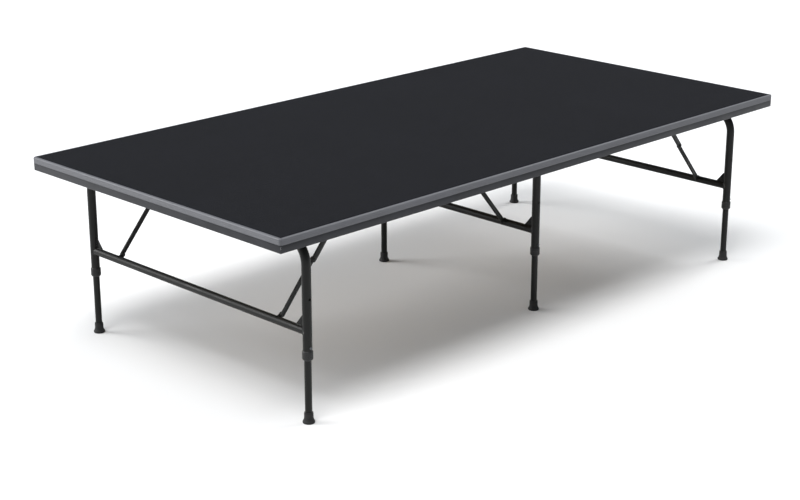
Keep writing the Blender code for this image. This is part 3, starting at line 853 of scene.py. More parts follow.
def make_floor_finish():
    """A plain pale floor with a slow drift of its tone."""
    tree, shader, position = new_material("studio_floor", specular=0.1)
    drift = noise(tree, position, 0.8, 3.0)
    colour = mix(tree, drift, (0.80, 0.80, 0.80), (0.82, 0.82, 0.82))
    roughness = ramp(tree, drift, 0.0, 1.0, 0.85, 0.95)
    set_surface(tree, shader, colour, roughness, drift, 0.0001)


# ---------------------------------------------------------------- deck
def make_carpet(sizes):
    """A laid carpet with a softly uneven surface and a rolled edge all round."""
    low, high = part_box("deck_carpet")
    centre = (low + high) / 2
    edge = sizes.carpet_edge
    inner = Vector((high.x - edge, high.y - edge))
    relief = sizes.carpet_relief
    carpet = add(
        bpy.ops.mesh.primitive_grid_add,
        "carpet",
        size=1,
        x_subdivisions=260,
        y_subdivisions=130,
        location=(centre.x, centre.y, high.z - relief / 2),
        scale=(2 * inner.x, 2 * inner.y, 1),
    )
    swells = bpy.data.textures.new("carpet_swells", "CLOUDS")
    swells.noise_scale = 0.11
    tread = bpy.data.textures.new("carpet_tread", "CLOUDS")
    tread.noise_scale = 0.018
    for texture, share in ((swells, 0.6), (tread, 0.4)):
        apply_modifier(
            carpet,
            "DISPLACE",
            texture=texture,
            direction="Z",
            strength=relief * share,
            texture_coords="LOCAL",
        )
    with editing(carpet):
        pick("EDGE", lambda item: item.is_boundary)
        steps = 4
        out = drop = 0.0
        for step in range(1, steps + 1):
            angle = radians(90 * step / steps)
            next_out, next_drop = edge * sin(angle), edge * (1 - cos(angle))
            extrude((0, 0, drop - next_drop))
            grown = ((inner.x + next_out) / (inner.x + out), (inner.y + next_out) / (inner.y + out))
            resize((*grown, 1), (0, 0, high.z))
            out, drop = next_out, next_drop
        extrude((0, 0, low.z - high.z + edge))
        resize((1, 1, 0), (0, 0, low.z))
        bpy.ops.mesh.fill()
        face_outwards()
    finish_piece(carpet, "carpet", "deck", "charcoal_carpet", ["deck_carpet"], 60)


def make_band(node_name, sizes):
    """One strip of the edge band along the -Y edge or, turned, along the +X edge."""
    low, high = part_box(node_name)
    turn = 0 if high.x - low.x > high.y - low.y else 90
    deck = CAD_BOX[1]
    half_length = (deck.x if turn == 0 else deck.y) - CORNER_RADIUS - GAP
    face_y = low.y if turn == 0 else -high.x
    inner_y = face_y + BAND_WIDTH
    corner_y = face_y + CORNER_RADIUS
    band = add(
        bpy.ops.mesh.primitive_plane_add,
        node_name + "_band",
        size=1,
        location=(-half_length, (face_y + inner_y) / 2, (low.z + high.z) / 2),
        rotation=(0, radians(90), 0),
        scale=(high.z - low.z, BAND_WIDTH, 1),
    )
    rib_z = low.z + RIB_HEIGHT * (high.z - low.z)
    with editing(band):
        pick("EDGE", lambda e: near(middle(e).y, face_y))
        bpy.ops.mesh.subdivide(number_cuts=15)
        for line_z in (rib_z, rib_z + RIB_SPACING):
            pick("VERT", lambda v: near(v.co.y, face_y) and near(v.co.z, line_z, 0.0007))
            bpy.ops.transform.translate(value=(0, sizes.rib_depth, 0))
        nose_low = high.z - sizes.nose_radius
        pick("VERT", lambda v: near(v.co.y, face_y) and nose_low - 0.0005 < v.co.z < high.z - GAP)
        bpy.ops.mesh.dissolve_verts()
        pick("VERT", lambda v: near(v.co.y, face_y) and near(v.co.z, high.z))
        bevel(sizes.nose_radius * 0.98, 10, "VERTICES")
        pick("VERT", lambda v: near(v.co.y, inner_y) and near(v.co.z, high.z))
        bevel(0.0012, 4, "VERTICES")
        pick("VERT", lambda v: near(v.co.y, face_y) and near(v.co.z, low.z))
        bevel(0.0010, 4, "VERTICES")
        bpy.ops.mesh.select_all(action="SELECT")
        extrude((2 * half_length, 0, 0))
        spin(radians(45), (half_length, corner_y, 0), (0, 0, 1), 8)
        pick("FACE", lambda f: near(middle(f).x, -half_length) and len(f.verts) > 4)
        spin(radians(-45), (-half_length, corner_y, 0), (0, 0, 1), 8)
        face_outwards()
    move_mesh(band, Matrix.Rotation(radians(turn), 4, "Z"))
    return band


def make_channel(node_name, sizes):
    """One side of the steel channel that frames the deck: a web, a shelf and a lip."""
    low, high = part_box(node_name)
    turn = 0 if high.x - low.x > high.y - low.y else 90
    half_length = high.x if turn == 0 else high.y
    face_y = low.y if turn == 0 else -high.x
    shelf_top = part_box("deck_panel")[0].z - GAP
    channel = add(
        bpy.ops.mesh.primitive_plane_add,
        node_name + "_channel",
        size=1,
        location=(-half_length, face_y + CHANNEL_WEB / 2, (low.z + high.z) / 2),
        rotation=(0, radians(90), 0),
        scale=(high.z - low.z, CHANNEL_WEB, 1),
    )
    inner_y = face_y + CHANNEL_WEB
    levels = (low.z + CHANNEL_WEB, shelf_top - CHANNEL_WEB, shelf_top)
    with editing(channel):
        for level in levels:
            bpy.ops.mesh.select_all(action="SELECT")
            bpy.ops.mesh.bisect(plane_co=(0, 0, level), plane_no=(0, 0, 1))
        lip_z = low.z + CHANNEL_WEB / 2
        pick("EDGE", lambda e: near(middle(e).y, inner_y) and near(middle(e).z, lip_z, 0.001))
        extrude((0, LIP_WIDTH - CHANNEL_WEB, 0))
        shelf_z = shelf_top - CHANNEL_WEB / 2
        pick("EDGE", lambda e: near(middle(e).y, inner_y) and near(middle(e).z, shelf_z, 0.001))
        extrude((0, SHELF_WIDTH - CHANNEL_WEB, 0))
        pick("VERT", lambda v: near(v.co.y, face_y) and near(v.co.z, low.z))
        bevel(sizes.sheet_bend, 6, "VERTICES")
        bpy.ops.mesh.select_all(action="SELECT")
        extrude((2 * half_length, 0, 0))
        for end in (-1, 1):
            bpy.ops.mesh.select_all(action="SELECT")
            bpy.ops.mesh.bisect(
                plane_co=(end * half_length, face_y, 0),
                plane_no=(end, 1, 0),
                use_fill=True,
                clear_outer=True,
            )
        face_outwards()
        bpy.ops.mesh.dissolve_limited(angle_limit=radians(1))
    break_edges(channel, sizes.steel_edge, angle=60)
    move_mesh(channel, Matrix.Rotation(radians(turn), 4, "Z"))
    return channel


def make_screw():
    """A hex washer-head screw that points up, with its seat at the origin and its head below."""
    washer = turned("screw_washer", [(0.0050, -0.0004), (0.0064, 0.0), (0.0064, 0.0004)], 16)
    hexagon = turned(
        "screw_head", [(0.0034, -0.0042), (0.0042, -0.0036), (0.0042, -0.0002)], 6
    )
    return joined([washer, hexagon], "screw")


def rail_screw_places(sizes, node_name):
    """Screws up through the shelf of one channel, at an even pitch."""
    low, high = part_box(node_name)
    along_x = high.x - low.x > high.y - low.y
    length = (high.x - low.x) if along_x else (high.y - low.y)
    reach = length - 2 * EDGE_SCREW_INSET
    count = round(reach / sizes.screw_pitch) + 1
    shelf_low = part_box("deck_panel")[0].z - GAP - CHANNEL_WEB
    inward = (SHELF_WIDTH + LIP_WIDTH) / 2
    for index in range(count):
        run = -reach / 2 + reach * index / (count - 1)
        if along_x:
            y = low.y + inward if low.y < -inward else high.y - inward
            yield Matrix.Translation((run, y, shelf_low))
        else:
            x = low.x + inward if low.x < -inward else high.x - inward
            yield Matrix.Translation((x, run, shelf_low))


def make_deck_edge(sizes):
    """The band and the channel on all four sides, and the screws up through the channels."""
    for first, second in (("near", "far"), ("right", "left")):
        for maker, label, node_label, material, slot in (
            (make_band, "edge_band", "edge_trim", "vinyl_band", "edge_trim"),
            # The channel's finish carries painted shade: its dark grey stands in for the shade on
            # the lower half of the deck edge.
            (make_channel, "edge_channel", "deck_rail", "channel_paint", "rail"),
        ):
            made = maker(f"{node_label}_{first}", sizes)
            opposite = copied(made, Matrix.Rotation(pi, 4, "Z"))
            for obj, edge in ((made, first), (opposite, second)):
                node_name = f"{node_label}_{edge}"
                finish_piece(obj, f"{label}_{edge}", "deck", material, [node_name])
    for edge in ("near", "far", "left", "right"):
        places = list(rail_screw_places(sizes, f"deck_rail_{edge}"))
        screws = scattered(make_screw(), "screws", places)
        finish_piece(screws, f"edge_screws_{edge}", "deck", "zinc_plate")


# ---------------------------------------------------------------- rails under the deck
def make_hat(name, crown_low_x, crown_high_x, crown_z, flange_low_x, flange_high_x, half, sizes):
    """A folded sheet rail: a crown that hangs between two flanges."""
    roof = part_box("deck_panel")[0].z - GAP - HAT_SHEET / 2
    inset = HAT_SHEET / 2
    crown_mid_z = crown_z + inset
    hat = add(
        bpy.ops.mesh.primitive_plane_add,
        name,
        size=1,
        location=((crown_low_x + crown_high_x) / 2, 0, crown_mid_z),
        scale=(crown_high_x - crown_low_x - HAT_SHEET, 2 * half, 1),
    )
    low_x, high_x = crown_low_x + inset, crown_high_x - inset
    with editing(hat):
        for wall_x, flange_x in ((low_x, flange_low_x), (high_x, flange_high_x)):
            pick("EDGE", lambda e: near(middle(e).x, wall_x) and near(middle(e).z, crown_mid_z))
            extrude((0, 0, roof - crown_mid_z))
            extrude((flange_x - wall_x, 0, 0))
        pick(
            "EDGE",
            lambda e: len(e.link_faces) == 2
            and min(abs(middle(e).x - x) for x in (low_x, high_x)) < 0.0001,
        )
        bevel(sizes.sheet_bend, 5)
        pick("VERT", lambda v: near(abs(v.co.y), half) and v.co.x in (flange_low_x, flange_high_x))
        bevel(0.008, 4, "VERTICES")
        face_outwards()
    thicken(hat, HAT_SHEET)
    break_edges(hat, sizes.steel_edge * 0.6, 1, 60)
    return hat


def make_saddle(sizes):
    """The strap that holds the model frame's top tube, on its near side."""
    crown_z = MODEL.hinge_z + CROWN_ABOVE_HINGE
    ring = MODEL.tube_radius + GAP + SADDLE_STRAP / 2
    foot_z = crown_z - SADDLE_STRAP / 2
    y = MODEL_SIGN * MODEL.saddle_y
    strap = add(
        bpy.ops.mesh.primitive_plane_add,
        "saddle",
        size=1,
        location=(MODEL.x - (SADDLE_FOOT + ring) / 2, y, foot_z),
        scale=(SADDLE_FOOT - ring, SADDLE_WIDTH, 1),
    )
    with editing(strap):
        pick("EDGE", lambda e: near(middle(e).x, MODEL.x - ring))
        extrude((0, 0, MODEL.hinge_z - foot_z))
        spin(radians(-180), (MODEL.x, y, MODEL.hinge_z), (0, 1, 0), 20)
        extrude((0, 0, foot_z - MODEL.hinge_z))
        extrude((SADDLE_FOOT - ring, 0, 0))
        pick("EDGE", lambda e: len(e.link_faces) == 2 and near(middle(e).z, foot_z, 0.0002))
        bevel(0.0030, 4)
        pick("VERT", lambda v: near(abs(v.co.x - MODEL.x), SADDLE_FOOT))
        bevel(0.006, 4, "VERTICES")
        face_outwards()
    thicken(strap, SADDLE_STRAP)
    break_edges(strap, sizes.steel_edge, 2, 60)
    return strap


def make_bolt():
    """A hex bolt head with a washer, seated at the origin with its head below."""
    washer = turned("bolt_washer", [(0.0078, -0.0012), (0.0080, -0.0010), (0.0080, 0.0003)], 24)
    head = turned(
        "bolt_head",
        [(0.0046, -0.0055), (0.0056, -0.0050), (0.0058, -0.0046), (0.0058, -0.0010)],
        6,
    )
    shank = turned("bolt_end", [(0.0026, -0.0060), (0.0030, -0.0057), (0.0030, -0.0050)], 16)
    return joined([washer, head, shank], "bolt")


def flange_screw_places(sizes, columns, half):
    """Screws up through a rail's two flanges, at an even pitch."""
    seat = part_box("deck_panel")[0].z - GAP - HAT_SHEET
    reach = 2 * (half - FLANGE_SCREW_INSET)
    count = round(reach / sizes.screw_pitch) + 1
    for x in columns:
        for index in range(count):
            run = -reach / 2 + reach * index / (count - 1)
            yield Matrix.Translation((x, run, seat))


def make_hinge_rails(sizes):
    """Rails with two saddles each, in which the frames' top tubes turn."""
    for place in FRAMES:
        low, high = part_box(f"hinge_rail_{place.name}")
        crown_z = place.hinge_z + CROWN_ABOVE_HINGE
        rail = make_hat(
            "hinge_rail",
            place.x - HINGE_CROWN,
            place.x + HINGE_CROWN,
            crown_z,
            low.x,
            high.x,
            high.y,
            sizes,
        )
        finish_piece(
            rail,
            f"hinge_channel_{place.name}",
            "deck",
            "rail_paint",
            [f"hinge_rail_{place.name}"],
        )
        bolt_reach = (MODEL.tube_radius + SADDLE_STRAP + SADDLE_FOOT) / 2
        seat = crown_z - SADDLE_STRAP
        bolts = [
            Matrix.Translation((place.x + offset, sign * place.saddle_y, seat))
            for offset in (-bolt_reach, bolt_reach)
            for _, sign in SIDES
        ]
        group = scattered(make_bolt(), "bolts", bolts)
        finish_piece(group, f"saddle_bolts_{place.name}", "deck", "zinc_plate")
        across = HINGE_CROWN + HINGE_SCREW_REACH
        columns = (place.x - across, place.x + across)
        places = list(flange_screw_places(sizes, columns, high.y))
        screws = scattered(make_screw(), "screws", places)
        finish_piece(screws, f"hinge_screws_{place.name}", "deck", "zinc_plate")
    repeat_on_sides(
        make_saddle(sizes), "tube_saddle", "saddle_y", "deck", "rail_paint"
    )


def round_bar(name, start, end, radius, y_low, y_high, end_radius=None):
    """A flat bar around two points of a side view, (x, z), with a round end at each."""
    run = Vector(end) - Vector(start)
    heading = run.normalized()
    bar = add(
        bpy.ops.mesh.primitive_circle_add,
        name,
        vertices=40,
        radius=radius,
        fill_type="NGON",
        location=(start[0], y_low, start[1]),
        rotation=(radians(90), 0, 0),
    )
    with editing(bar):
        pick("VERT", lambda v: (Vector((v.co.x, v.co.z)) - Vector(start)).dot(heading) > 0)
        bpy.ops.transform.translate(value=(run.x, 0, run.y))
        if end_radius:
            grow = end_radius / radius
            resize((grow, 1, grow), (end[0], y_low, end[1]))
        bpy.ops.mesh.select_all(action="SELECT")
        extrude((0, y_high - y_low, 0))
        face_outwards()
    return bar


def make_pin(length):
    """A headed pin along +Z: a domed head below the origin and a peened end at its length."""
    head = [
        (0.0030, -0.0030),
        (0.0052, -0.0026),
        (0.0066, -0.0018),
        (0.0074, -0.0007),
        (PIN_HEAD_RADIUS, 0.0),
        (PIN_RADIUS, 0.0001),
    ]
    tail = [
        (PIN_RADIUS, length - 0.0006),
        (PIN_RADIUS - 0.0005, length),
        (0.0022, length),
        (0.0012, length - 0.0008),
    ]
    return turned("pin", head + tail, 24)


def layer_span(place, layer):
    """How far one layer of a brace is from the middle of the deck, at its two faces."""
    spans = (
        (place.lower_link[0] - GAP - LUG_THICKNESS, place.lower_link[0] - GAP),
        place.lower_link,
        place.upper_link,
        (place.upper_link[1] + GAP, place.upper_link[1] + GAP + LUG_THICKNESS),
    )
    return spans[layer]


def model_span(layer):
    """The same layer on the model frame's near side, from low to high Y."""
    start, end = layer_span(MODEL, layer)
    return min(MODEL_SIGN * start, MODEL_SIGN * end), max(MODEL_SIGN * start, MODEL_SIGN * end)


def make_brace_rails(sizes):
    """Rails that carry the upper ends of the braces on welded lugs with headed pins."""
    for place in FRAMES:
        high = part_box(f"brace_rail_{place.name}")[1]
        start = place.x + place.fold * BRACE_RAIL_START
        end = place.x + place.fold * BRACE_RAIL_END
        flange_low, flange_high = min(start, end), max(start, end)
        rail = make_hat(
            "brace_rail",
            flange_low + BRACE_CROWN_INSET,
            flange_high - BRACE_CROWN_INSET,
            place.hinge_z + BRACE_CROWN_ABOVE_HINGE,
            flange_low,
            flange_high,
            high.y,
            sizes,
        )
        finish_piece(
            rail,
            f"brace_channel_{place.name}",
            "deck",
            "rail_paint",
            [f"brace_rail_{place.name}"],
        )
        columns = (flange_low + BRACE_SCREW_REACH, flange_high - BRACE_SCREW_REACH)
        places = list(flange_screw_places(sizes, columns, high.y))
        screws = scattered(make_screw(), "screws", places)
        finish_piece(screws, f"brace_screws_{place.name}", "deck", "zinc_plate")
    y_low, y_high = model_span(RAIL_LUG)
    head = (MODEL.head_pivot.x, MODEL.head_pivot.z)
    wall = MODEL.x + MODEL.fold * (BRACE_RAIL_START + BRACE_CROWN_INSET + HAT_SHEET / 2)
    lug = round_bar("rail_lug", head, (wall, head[1]), UPPER_LINK_RADIUS, y_low, y_high)
    with editing(lug):
        bpy.ops.mesh.select_all(action="SELECT")
        bpy.ops.mesh.bisect(
            plane_co=(wall, 0, 0), plane_no=(1, 0, 0), use_fill=True, clear_outer=True
        )
        face_outwards()
    break_edges(lug, sizes.steel_edge, 2, 50)
    repeat_on_sides(lug, "brace_bracket", "brace_y", "deck", "rail_paint")
    bead = make_straight_bead("lug_weld", 2 * UPPER_LINK_RADIUS, sizes.weld_radius)
    wall_face = wall - MODEL.fold * HAT_SHEET / 2
    foot = head[1] - UPPER_LINK_RADIUS
    beads = [copied(bead, Matrix.Translation((wall_face, y, foot))) for y in (y_low, y_high)]
    bpy.data.objects.remove(bead)
    repeat_on_sides(
        joined(beads, "lug_welds"), "bracket_weld", "brace_y", "deck", "weld_black"
    )
    pin = make_pin(y_high - y_low + LINK_PIN_REACH)
    move_mesh(pin, along_y(head[0], y_low, head[1]))
    repeat_on_sides(pin, "head_pin", "brace_y", "deck", "rivet_black")


# ---------------------------------------------------------------- welds
def make_straight_bead(name, length, radius, pitch=0.0026):
    """A weld bead with its ripples, up along Z from the origin."""
    profile = [(radius * 0.35, 0.0), (radius * 0.8, pitch * 0.25)]
    ripples = max(2, round(length / pitch) - 1)
    run = (length - pitch) / ripples
    for index in range(ripples):
        height = pitch / 2 + run * index
        profile += [(radius, height), (radius * 0.86, height + run * 0.7)]
    profile += [(radius * 0.8, length - pitch * 0.25), (radius * 0.35, length)]
    return turned(name, profile, 10)


def make_ring_bead(name, radius, thickness, sign, tube_radius, x, y, z):
    """The weld where a tube along Y meets an upright tube: a rippled ring that follows both."""
    bead = add(
        bpy.ops.mesh.primitive_torus_add,
        name,
        major_radius=radius,
        minor_radius=thickness,
        major_segments=96,
        minor_segments=8,
        location=(x, y, z),
        rotation=(radians(90), 0, 0),
    )
    ripples = 30
    for vert in bead.data.vertices:
        across = Vector((vert.co.x - x, vert.co.z - z))
        turn = across.angle_signed(Vector((1, 0)))
        ripple = 1 + 0.16 * sin(ripples * turn)
        on_ring = across.normalized() * radius
        swollen = on_ring + (across - on_ring) * ripple
        reach = sqrt(max(tube_radius**2 - swollen.x**2, 0))
        vert.co.y = y - sign * reach + (vert.co.y - y) * ripple
        vert.co.x = x + swollen.x
        vert.co.z = z + swollen.y
    return bead


# ---------------------------------------------------------------- leg frames
def make_bent_tube(place, sizes):
    """The frame's upper tube, bent into an upside-down U, with lock holes in its outer faces."""
    sides = sizes.tube_sides
    bend_y = place.leg_y - BEND_RADIUS
    bend_z = place.hinge_z - BEND_RADIUS
    tube = add(
        bpy.ops.mesh.primitive_circle_add,
        "bent_tube",
        vertices=sides,
        radius=place.tube_radius,
        fill_type="NGON",
        location=(place.x, -place.leg_y, place.tube_end),
    )
    with editing(tube):
        bpy.ops.mesh.select_all(action="SELECT")
        bpy.ops.mesh.inset(thickness=UPPER_TUBE_WALL)
        bpy.ops.mesh.delete(type="ONLY_FACE")
        bpy.ops.mesh.select_all(action="SELECT")
        extrude((0, 0, bend_z - place.tube_end))
        spin(radians(-90), (place.x, -bend_y, bend_z), (1, 0, 0), 16)
        extrude((0, 2 * bend_y, 0))
        spin(radians(-90), (place.x, bend_y, bend_z), (1, 0, 0), 16)
        extrude((0, 0, place.tube_end - bend_z))
        face_outwards()
        button_z = lock_height(place.name)
        travel = JOINTS[f"leg_slide_{place.name}_near"]["range_m"][1]
        for level in (button_z, button_z + travel):
            for offset in (-HOLE_MARGIN, HOLE_MARGIN):
                bpy.ops.mesh.select_all(action="SELECT")
                bpy.ops.mesh.bisect(plane_co=(0, 0, level + offset), plane_no=(0, 0, 1))
    for _, sign in SIDES:
        for level in (button_z, button_z + travel):
            drill = turned("drill", [(HOLE_RADIUS, 0), (HOLE_RADIUS, 2 * place.tube_radius)], 24)
            start = sign * place.leg_y if sign > 0 else -place.leg_y - 2 * place.tube_radius
            move_mesh(drill, along_y(place.x, start, level))
            cut(tube, drill)
    return tube


def lock_height(frame_name):
    """The height of a lock button's axis, measured up from the lower end of its clip."""
    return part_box(f"snap_clip_{frame_name}_far")[0].z + BUTTON_ABOVE_CLIP


def make_cross_tube(place, sizes):
    """The bar between the legs, with its ends cut to fit round them."""
    bar = add(
        bpy.ops.mesh.primitive_circle_add,
        "cross_tube",
        vertices=sizes.tube_sides,
        radius=place.bar_radius,
        fill_type="NGON",
        location=(place.x, -place.leg_y, place.bar_z),
        rotation=(radians(90), 0, 0),
    )
    with editing(bar):
        bpy.ops.mesh.select_all(action="SELECT")
        bpy.ops.mesh.inset(thickness=CROSSBAR_WALL)
        bpy.ops.mesh.delete(type="ONLY_FACE")
        bpy.ops.mesh.select_all(action="SELECT")
        extrude((0, 2 * place.leg_y, 0))
        face_outwards()
    for _, sign in SIDES:
        cope = turned("cope", [(place.tube_radius, -0.05), (place.tube_radius, 0.05)], 48)
        move_mesh(cope, Matrix.Translation((place.x, sign * place.leg_y, place.bar_z)))
        cut(bar, cope)
    return bar


def make_gusset(sizes):
    """The triangular plate in the corner between the model frame's near leg and its bar."""
    leg = MODEL.leg_y - MODEL.tube_radius
    low = MODEL.bar_z + MODEL.bar_radius - WELD_BITE
    plate = add(
        bpy.ops.mesh.primitive_plane_add,
        "gusset",
        size=GUSSET_SIDE,
        location=(
            MODEL.x - GUSSET_THICKNESS / 2,
            MODEL_SIGN * (leg - GUSSET_SIDE / 2),
            low + GUSSET_SIDE / 2,
        ),
        rotation=(0, radians(90), 0),
    )
    side_y, top_z = leg - WELD_BITE / 2, low + GUSSET_SIDE - WELD_BITE / 2
    with editing(plate):
        pick("VERT", lambda v: v.co.z > top_z and abs(v.co.y) < side_y)
        bpy.ops.transform.translate(value=(0, MODEL_SIGN * (GUSSET_SIDE - GUSSET_TIP), 0))
        pick("VERT", lambda v: abs(v.co.y) > side_y)
        bpy.ops.transform.translate(value=(0, MODEL_SIGN * WELD_BITE / 2, 0))
        bpy.ops.mesh.select_all(action="SELECT")
        extrude((GUSSET_THICKNESS, 0, 0))
        face_outwards()
    break_edges(plate, sizes.steel_edge, 2, 30)
    length = GUSSET_SIDE - 2 * WELD_BITE
    bead = make_straight_bead("gusset_weld", length, sizes.weld_radius * 1.25)
    upright = Matrix.Translation((MODEL.x, MODEL_SIGN * (leg + 0.0002), low + 2 * WELD_BITE))
    flat = Matrix.Translation((MODEL.x, MODEL_SIGN * (leg - WELD_BITE), low + 0.0016))
    lying = flat @ Matrix.Rotation(radians(90 * MODEL_SIGN), 4, "X")
    beads = joined([copied(bead, upright), copied(bead, lying)], "gusset_welds")
    bpy.data.objects.remove(bead)
    return plate, beads


def make_bar_lug(sizes):
    """The plate on the bar that the brace's lower link turns on, with its half-ring weld."""
    y_low, y_high = model_span(BAR_LUG)
    foot = (MODEL.foot_pivot.x, MODEL.foot_pivot.z)
    bar = (MODEL.x, MODEL.bar_z)
    root = MODEL.bar_radius - WELD_BITE
    lug = round_bar("bar_lug", foot, bar, LOWER_LINK_RADIUS, y_low, y_high, root)
    break_edges(lug, sizes.steel_edge, 2, 50)
    towards = Vector((foot[0] - bar[0], 0, foot[1] - bar[1])).normalized()
    beads = []
    for y in (y_low, y_high):
        bead = add(
            bpy.ops.mesh.primitive_torus_add,
            "lug_bead",
            major_radius=MODEL.bar_radius,
            minor_radius=sizes.weld_radius * 0.8,
            major_segments=64,
            minor_segments=8,
            location=(MODEL.x, y, MODEL.bar_z),
            rotation=(radians(90), 0, 0),
        )
        with editing(bead):
            bpy.ops.mesh.select_all(action="SELECT")
            bpy.ops.mesh.bisect(
                plane_co=Vector((bar[0], y, bar[1])) + towards * WELD_BITE,
                plane_no=-towards,
                use_fill=True,
                clear_outer=True,
            )
            face_outwards()
        beads.append(bead)
    return lug, joined(beads, "bar_lug_welds")


def make_bush():
    """The moulded bush at the upper tube's end, with grip rings and a guiding lip."""
    low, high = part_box(f"collar_{MODEL.name}_near")
    inner_low, inner_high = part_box(f"inner_leg_{MODEL.name}_near")
    outer = (high.x - low.x) / 2
    bore = (inner_high.x - inner_low.x) / 2 + GAP
    socket = MODEL.tube_radius + 0.0001
    seat = MODEL.tube_end - GAP
    profile = [
        (bore + 0.0006, low.z),
        (outer - 0.0034, low.z),
        (outer - 0.0028, low.z + 0.0004),
        (outer - 0.0004, low.z + 0.0036),
        (outer, low.z + 0.0048),
    ]
    ring_pitch = 0.0042
    for index in range(3):
        base = low.z + 0.0078 + ring_pitch * index
        profile += [
            (outer, base),
            (outer - 0.0007, base + 0.0005),
            (outer - 0.0007, base + 0.0011),
            (outer, base + 0.0016),
        ]
    profile += [
        (outer, high.z - 0.0032),
        (outer - 0.0005, high.z - 0.0020),
        (outer - 0.0017, high.z - 0.0004),
        (socket + 0.0003, high.z),
        (socket, high.z - 0.0005),
        (socket, seat),
        (bore, seat),
        (bore, low.z + 0.0006),
    ]
    bush = turned("leg_bush", profile, 48, hollow=True)
    move_mesh(bush, Matrix.Translation((MODEL.x, MODEL_SIGN * MODEL.leg_y, 0)))
    return bush


def make_lower_tube(sizes):
    """The thinner lower leg, with the hole for its lock button."""
    low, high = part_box(f"inner_leg_{MODEL.name}_near")
    outer = (high.x - low.x) / 2
    inner = outer - LOWER_TUBE_WALL
    button_z = lock_height(MODEL.name)
    profile = [
        (outer - 0.0004, low.z),
        (outer, low.z + 0.0004),
        (outer, button_z - HOLE_MARGIN),
        (outer, button_z + HOLE_MARGIN),
        (outer, high.z - 0.0004),
        (outer - 0.0004, high.z),
        (inner, high.z),
        (inner, low.z),
    ]
    leg = turned("lower_tube", profile, sizes.tube_sides, hollow=True)
    move_mesh(leg, Matrix.Translation((MODEL.x, MODEL_SIGN * MODEL.leg_y, 0)))
    drill = turned("drill", [(HOLE_RADIUS, 0), (HOLE_RADIUS, 2 * outer)], 24)
    start = MODEL_SIGN * MODEL.leg_y - 2 * outer
    move_mesh(drill, along_y(MODEL.x, start, button_z))
    cut(leg, drill)
    return leg


def make_foot_cap():
    """A rubber cap over the lower leg's end: a ribbed sleeve that flares to a ringed sole."""
    low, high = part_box(f"foot_{MODEL.name}_near")
    leg_low, leg_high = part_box(f"inner_leg_{MODEL.name}_near")
    sole = (high.x - low.x) / 2
    bore = (leg_high.x - leg_low.x) / 2 + 0.0001
    sleeve = bore + 0.0028
    floor = leg_low.z - GAP
    profile = [(0.0020, SOLE_GROOVE)]
    for ring in (0.0035, 0.0075, 0.0115):
        profile += [
            (ring, SOLE_GROOVE),
            (ring + 0.0004, 0.0),
            (ring + 0.0022, 0.0),
            (ring + 0.0026, SOLE_GROOVE),
        ]
    profile += [
        (sole - 0.0032, SOLE_GROOVE),
        (sole - 0.0028, 0.0),
        (sole - 0.0012, 0.0),
        (sole - 0.0003, 0.0006),
        (sole, 0.0016),
        (sole, 0.0046),
        (sole - 0.0004, 0.0058),
        (sole - 0.0014, 0.0072),
        (sole - 0.0030, 0.0098),
        (sleeve + 0.0010, 0.0140),
        (sleeve + 0.0003, 0.0170),
    ]
    for index in range(3):
        base = 0.0188 + 0.0040 * index
        profile += [
            (sleeve, base),
            (sleeve + 0.0005, base + 0.0006),
            (sleeve + 0.0005, base + 0.0016),
            (sleeve, base + 0.0022),
        ]
    profile += [
        (sleeve, high.z - 0.0014),
        (sleeve - 0.0004, high.z - 0.0004),
        (sleeve - 0.0012, high.z),
        (bore + 0.0003, high.z),
        (bore, high.z - 0.0004),
        (bore, floor),
        (0.0020, floor),
    ]
    cap = turned("foot_cap", profile, 48)
    move_mesh(cap, Matrix.Translation((MODEL.x, MODEL_SIGN * MODEL.leg_y, 0)))
    return cap


def clip_leaves():
    """Where the clip's front and back leaves stand in Y, from the leg's axis."""
    leg_low, leg_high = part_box(f"inner_leg_{MODEL.name}_near")
    reach = CLIP_SPREAD * ((leg_high.x - leg_low.x) / 2 - LOWER_TUBE_WALL)
    return MODEL_SIGN * (reach - CLIP_STRIP), -MODEL_SIGN * (reach - CLIP_STRIP / 2)


def make_lock_button():
    """The round button on the front leaf of its spring clip."""
    low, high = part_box(f"snap_clip_{MODEL.name}_near")
    axis_y = MODEL_SIGN * MODEL.leg_y
    button_z = lock_height(MODEL.name)
    front, _ = clip_leaves()
    top = button_z + CLIP_LEAF_TOP
    leaf = add(
        bpy.ops.mesh.primitive_plane_add,
        "leaf",
        size=1,
        location=(MODEL.x, axis_y + front, (low.z + top) / 2),
        rotation=(radians(90), 0, 0),
        scale=(high.x - low.x, top - low.z, 1),
    )
    with editing(leaf):
        pick("VERT", lambda v: near(v.co.z, low.z))
        bevel(0.0020, 4, "VERTICES")
    thicken(leaf, CLIP_STRIP)
    break_edges(leaf, CLIP_BREAK, 1, 50)
    tip = abs(low.y - axis_y)
    base = abs(front) - CLIP_STRIP / 4
    button = turned(
        "button",
        [
            (BUTTON_RADIUS, base),
            (BUTTON_RADIUS, tip - 0.0018),
            (BUTTON_RADIUS - 0.0004, tip - 0.0008),
            (BUTTON_RADIUS - 0.0013, tip - 0.0002),
            (BUTTON_RADIUS - 0.0025, tip),
        ],
        32,
    )
    turn = Matrix.Rotation(radians(-90 * MODEL_SIGN), 4, "X")
    move_mesh(button, Matrix.Translation((MODEL.x, axis_y, button_z)) @ turn)
    return joined([leaf, button], "lock_button")


